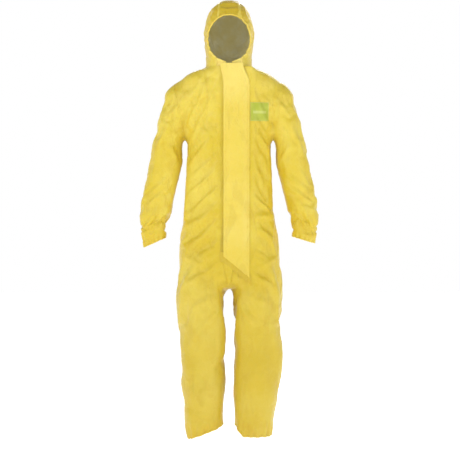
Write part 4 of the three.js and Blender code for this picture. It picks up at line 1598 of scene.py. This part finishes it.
for name, o in cloth.items():
    dress(o, yellow, inside)
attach(cloth["trunk"], "torso")
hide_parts("left_front_panel", "right_front_panel", "left_back_panel", "right_back_panel")
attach(cloth["hood"], "hood")
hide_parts("hood_centre_panel", "hood_left_panel", "hood_right_panel")


def at_hip(o):
    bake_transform(o)


for name, side in SIDES:
    at_hip(cloth[f"{name}_hip"])
    at_hip(tapes[f"{name}_hip_tape"])
    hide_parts(f"{name}_upper_leg")
    shin = cloth[f"{name}_shin"]
    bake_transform(shin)
    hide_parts(f"{name}_lower_leg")
    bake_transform(cloth[f"{name}_sleeve"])
    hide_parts(f"{name}_upper_sleeve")
    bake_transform(cloth[f"{name}_forearm"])
    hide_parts(f"{name}_lower_sleeve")
    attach(dress(armholes[name], yellow), "torso")

for name, o in tapes.items():
    dress(o, film)
    if "hip" not in name:
        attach(o, "hood" if name.startswith("hood") else "torso")
        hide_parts(name)
CARRIED_BY = {
    "face_hem": "hood",
    "waist_elastic": "torso",
    "ankle_hem": "lower_leg",
    "cuff_hem": "lower_sleeve",
    "ankle_elastic": "lower_leg",
    "wrist_elastic": "lower_sleeve",
}


def carrier(name):
    """The body that carries a hem or a band."""
    for word, body in CARRIED_BY.items():
        name = name.replace(word, body)
    return name


# The hem rolls take the lighter copy of the cloth, as painted light.
for name, o in hems.items():
    dress(o, painted_light_cloth)
    body = carrier(name)
    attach(o, body)
    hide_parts(name)
for name, o in bands.items():
    dress(o, elastic)
    body = carrier(name)
    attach(o, body)
    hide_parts(name)
for name, o in coils.items():
    dress(o, nylon)
    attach(o, "torso")
    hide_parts(f"{name}_zip_coil")
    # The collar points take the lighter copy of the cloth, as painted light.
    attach(dress(collars[name], painted_light_cloth), "torso")
    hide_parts(f"{name}_collar")
for name, o in seams.items():
    dress(o, thread)
    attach(o, "torso" if name == "label_stitches" else "storm_flap")
# The flap takes the lighter copy of the cloth, as painted light, and the facings the darker copy, as painted
# shade.
for o, material, slot_name, body, node in (
    (flap, painted_light_cloth, "coated_cloth", "storm_flap", "storm_flap"),
    (facing, painted_shade_cloth, "coated_cloth", "torso", None),
    (facing_tail, painted_shade_cloth, "coated_cloth", "torso", None),
    (zip_cover, yellow, "coated_cloth", "torso", None),
    (guard, yellow, "coated_cloth", "torso", "inner_zip_guard"),
    (label, green, "label_green", "torso", "chest_label"),
    (gusset, yellow, "coated_cloth", "torso", "crotch_gusset"),
):
    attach(dress(o, material), body)
    if node:
        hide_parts(node)


def repaint(o, material):
    o.data.materials.clear()
    o.data.materials.append(material)


for name, o in nodes.items():
    if "slider" in name or "pull_tab" in name or "stop" in name:
        repaint(o, metal)
    elif "zip_tape" in name:
        repaint(o, woven)
    elif name == "flap_adhesive_tape":
        repaint(o, paper)
    elif name == "size_label":
        repaint(o, white)

# %% [markdown]
# ## Take away the workshop
# The undivided suit was only a mould for the sections, so it goes before anything is shown.

# %% Remove the mould
bpy.data.objects.remove(suit)

# %% [markdown]
# ## Floor, light and camera
# A plain pale floor lies in a room with white walls and a dim ceiling, so the suit can be seen from every
# side. The light is broad: it comes from the walls and from both sides in front, a little more from the
# upper left, so the yellow stays clear and the creases are drawn by soft shadows. The camera stands at
# chest height, some way off, with a long lens, which keeps the suit's proportions.

# %% Stage, lamps and camera
REACH = 7.0
floor = slab("floor", [[(x, y, level(0)) for x in (-REACH, 0, REACH)] for y in (-REACH, 0, REACH)], 0.01)
stone = Paint("pale_floor", Roughness=0.85, Specular_IOR_Level=0.1)
clouds = stone.noise(2, 2).between(0.3, 0.7)
stone.feed("Base Color", stone.blend(clouds, (0.94, 0.94, 0.94), (0.96, 0.96, 0.96)))
stone.shader.inputs["Emission Color"].default_value = (1, 1, 1, 1)
stone.shader.inputs["Emission Strength"].default_value = 0.65
floor.data.materials.append(stone.material)

world = bpy.data.worlds.new("soft room")
world.use_nodes = True
room = Nodes(world.node_tree)
ceiling = room.axes("Generated")[2].abs().between(0.22, 0.50)
background = room.tree.nodes["Background"]
background.inputs["Color"].default_value = (1, 1, 1, 1)
room.tree.links.new((1.0 - ceiling * 0.70).socket, background.inputs["Strength"])
bpy.context.scene.world = world


def lamp(name, place, size, power, aim=(0, 0, level(1000))):
    data = bpy.data.lights.new(name, "AREA")
    data.shape = "RECTANGLE"
    data.size, data.size_y = size
    data.energy = power
    made = bpy.data.objects.new(name, data)
    made.location = place
    made.rotation_euler = (Vector(place) - Vector(aim)).to_track_quat("Z", "Y").to_euler()
    bpy.context.scene.collection.objects.link(made)


lamp("left softbox", (-2.4, -2.6, 1.3), (1.0, 1.4), 46)
lamp("right softbox", (3.0, -2.2, 0.4), (1.2, 2.2), 31)
lamp("rear softbox", (0.5, 2.6, 1.2), (2.0, 1.0), 34)

bpy.context.scene.view_settings.view_transform = "Standard"
lens = bpy.data.cameras.new("long lens")
lens.lens = 95
lens.sensor_width = 36
camera = bpy.data.objects.new("camera", lens)
aim = Vector((0.004, 0, level(931)))
camera.location = aim + Vector((0, -4.98, 0.22))
camera.rotation_euler = (camera.location - aim).to_track_quat("Z", "Y").to_euler()
bpy.context.scene.collection.objects.link(camera)
bpy.context.scene.camera = camera
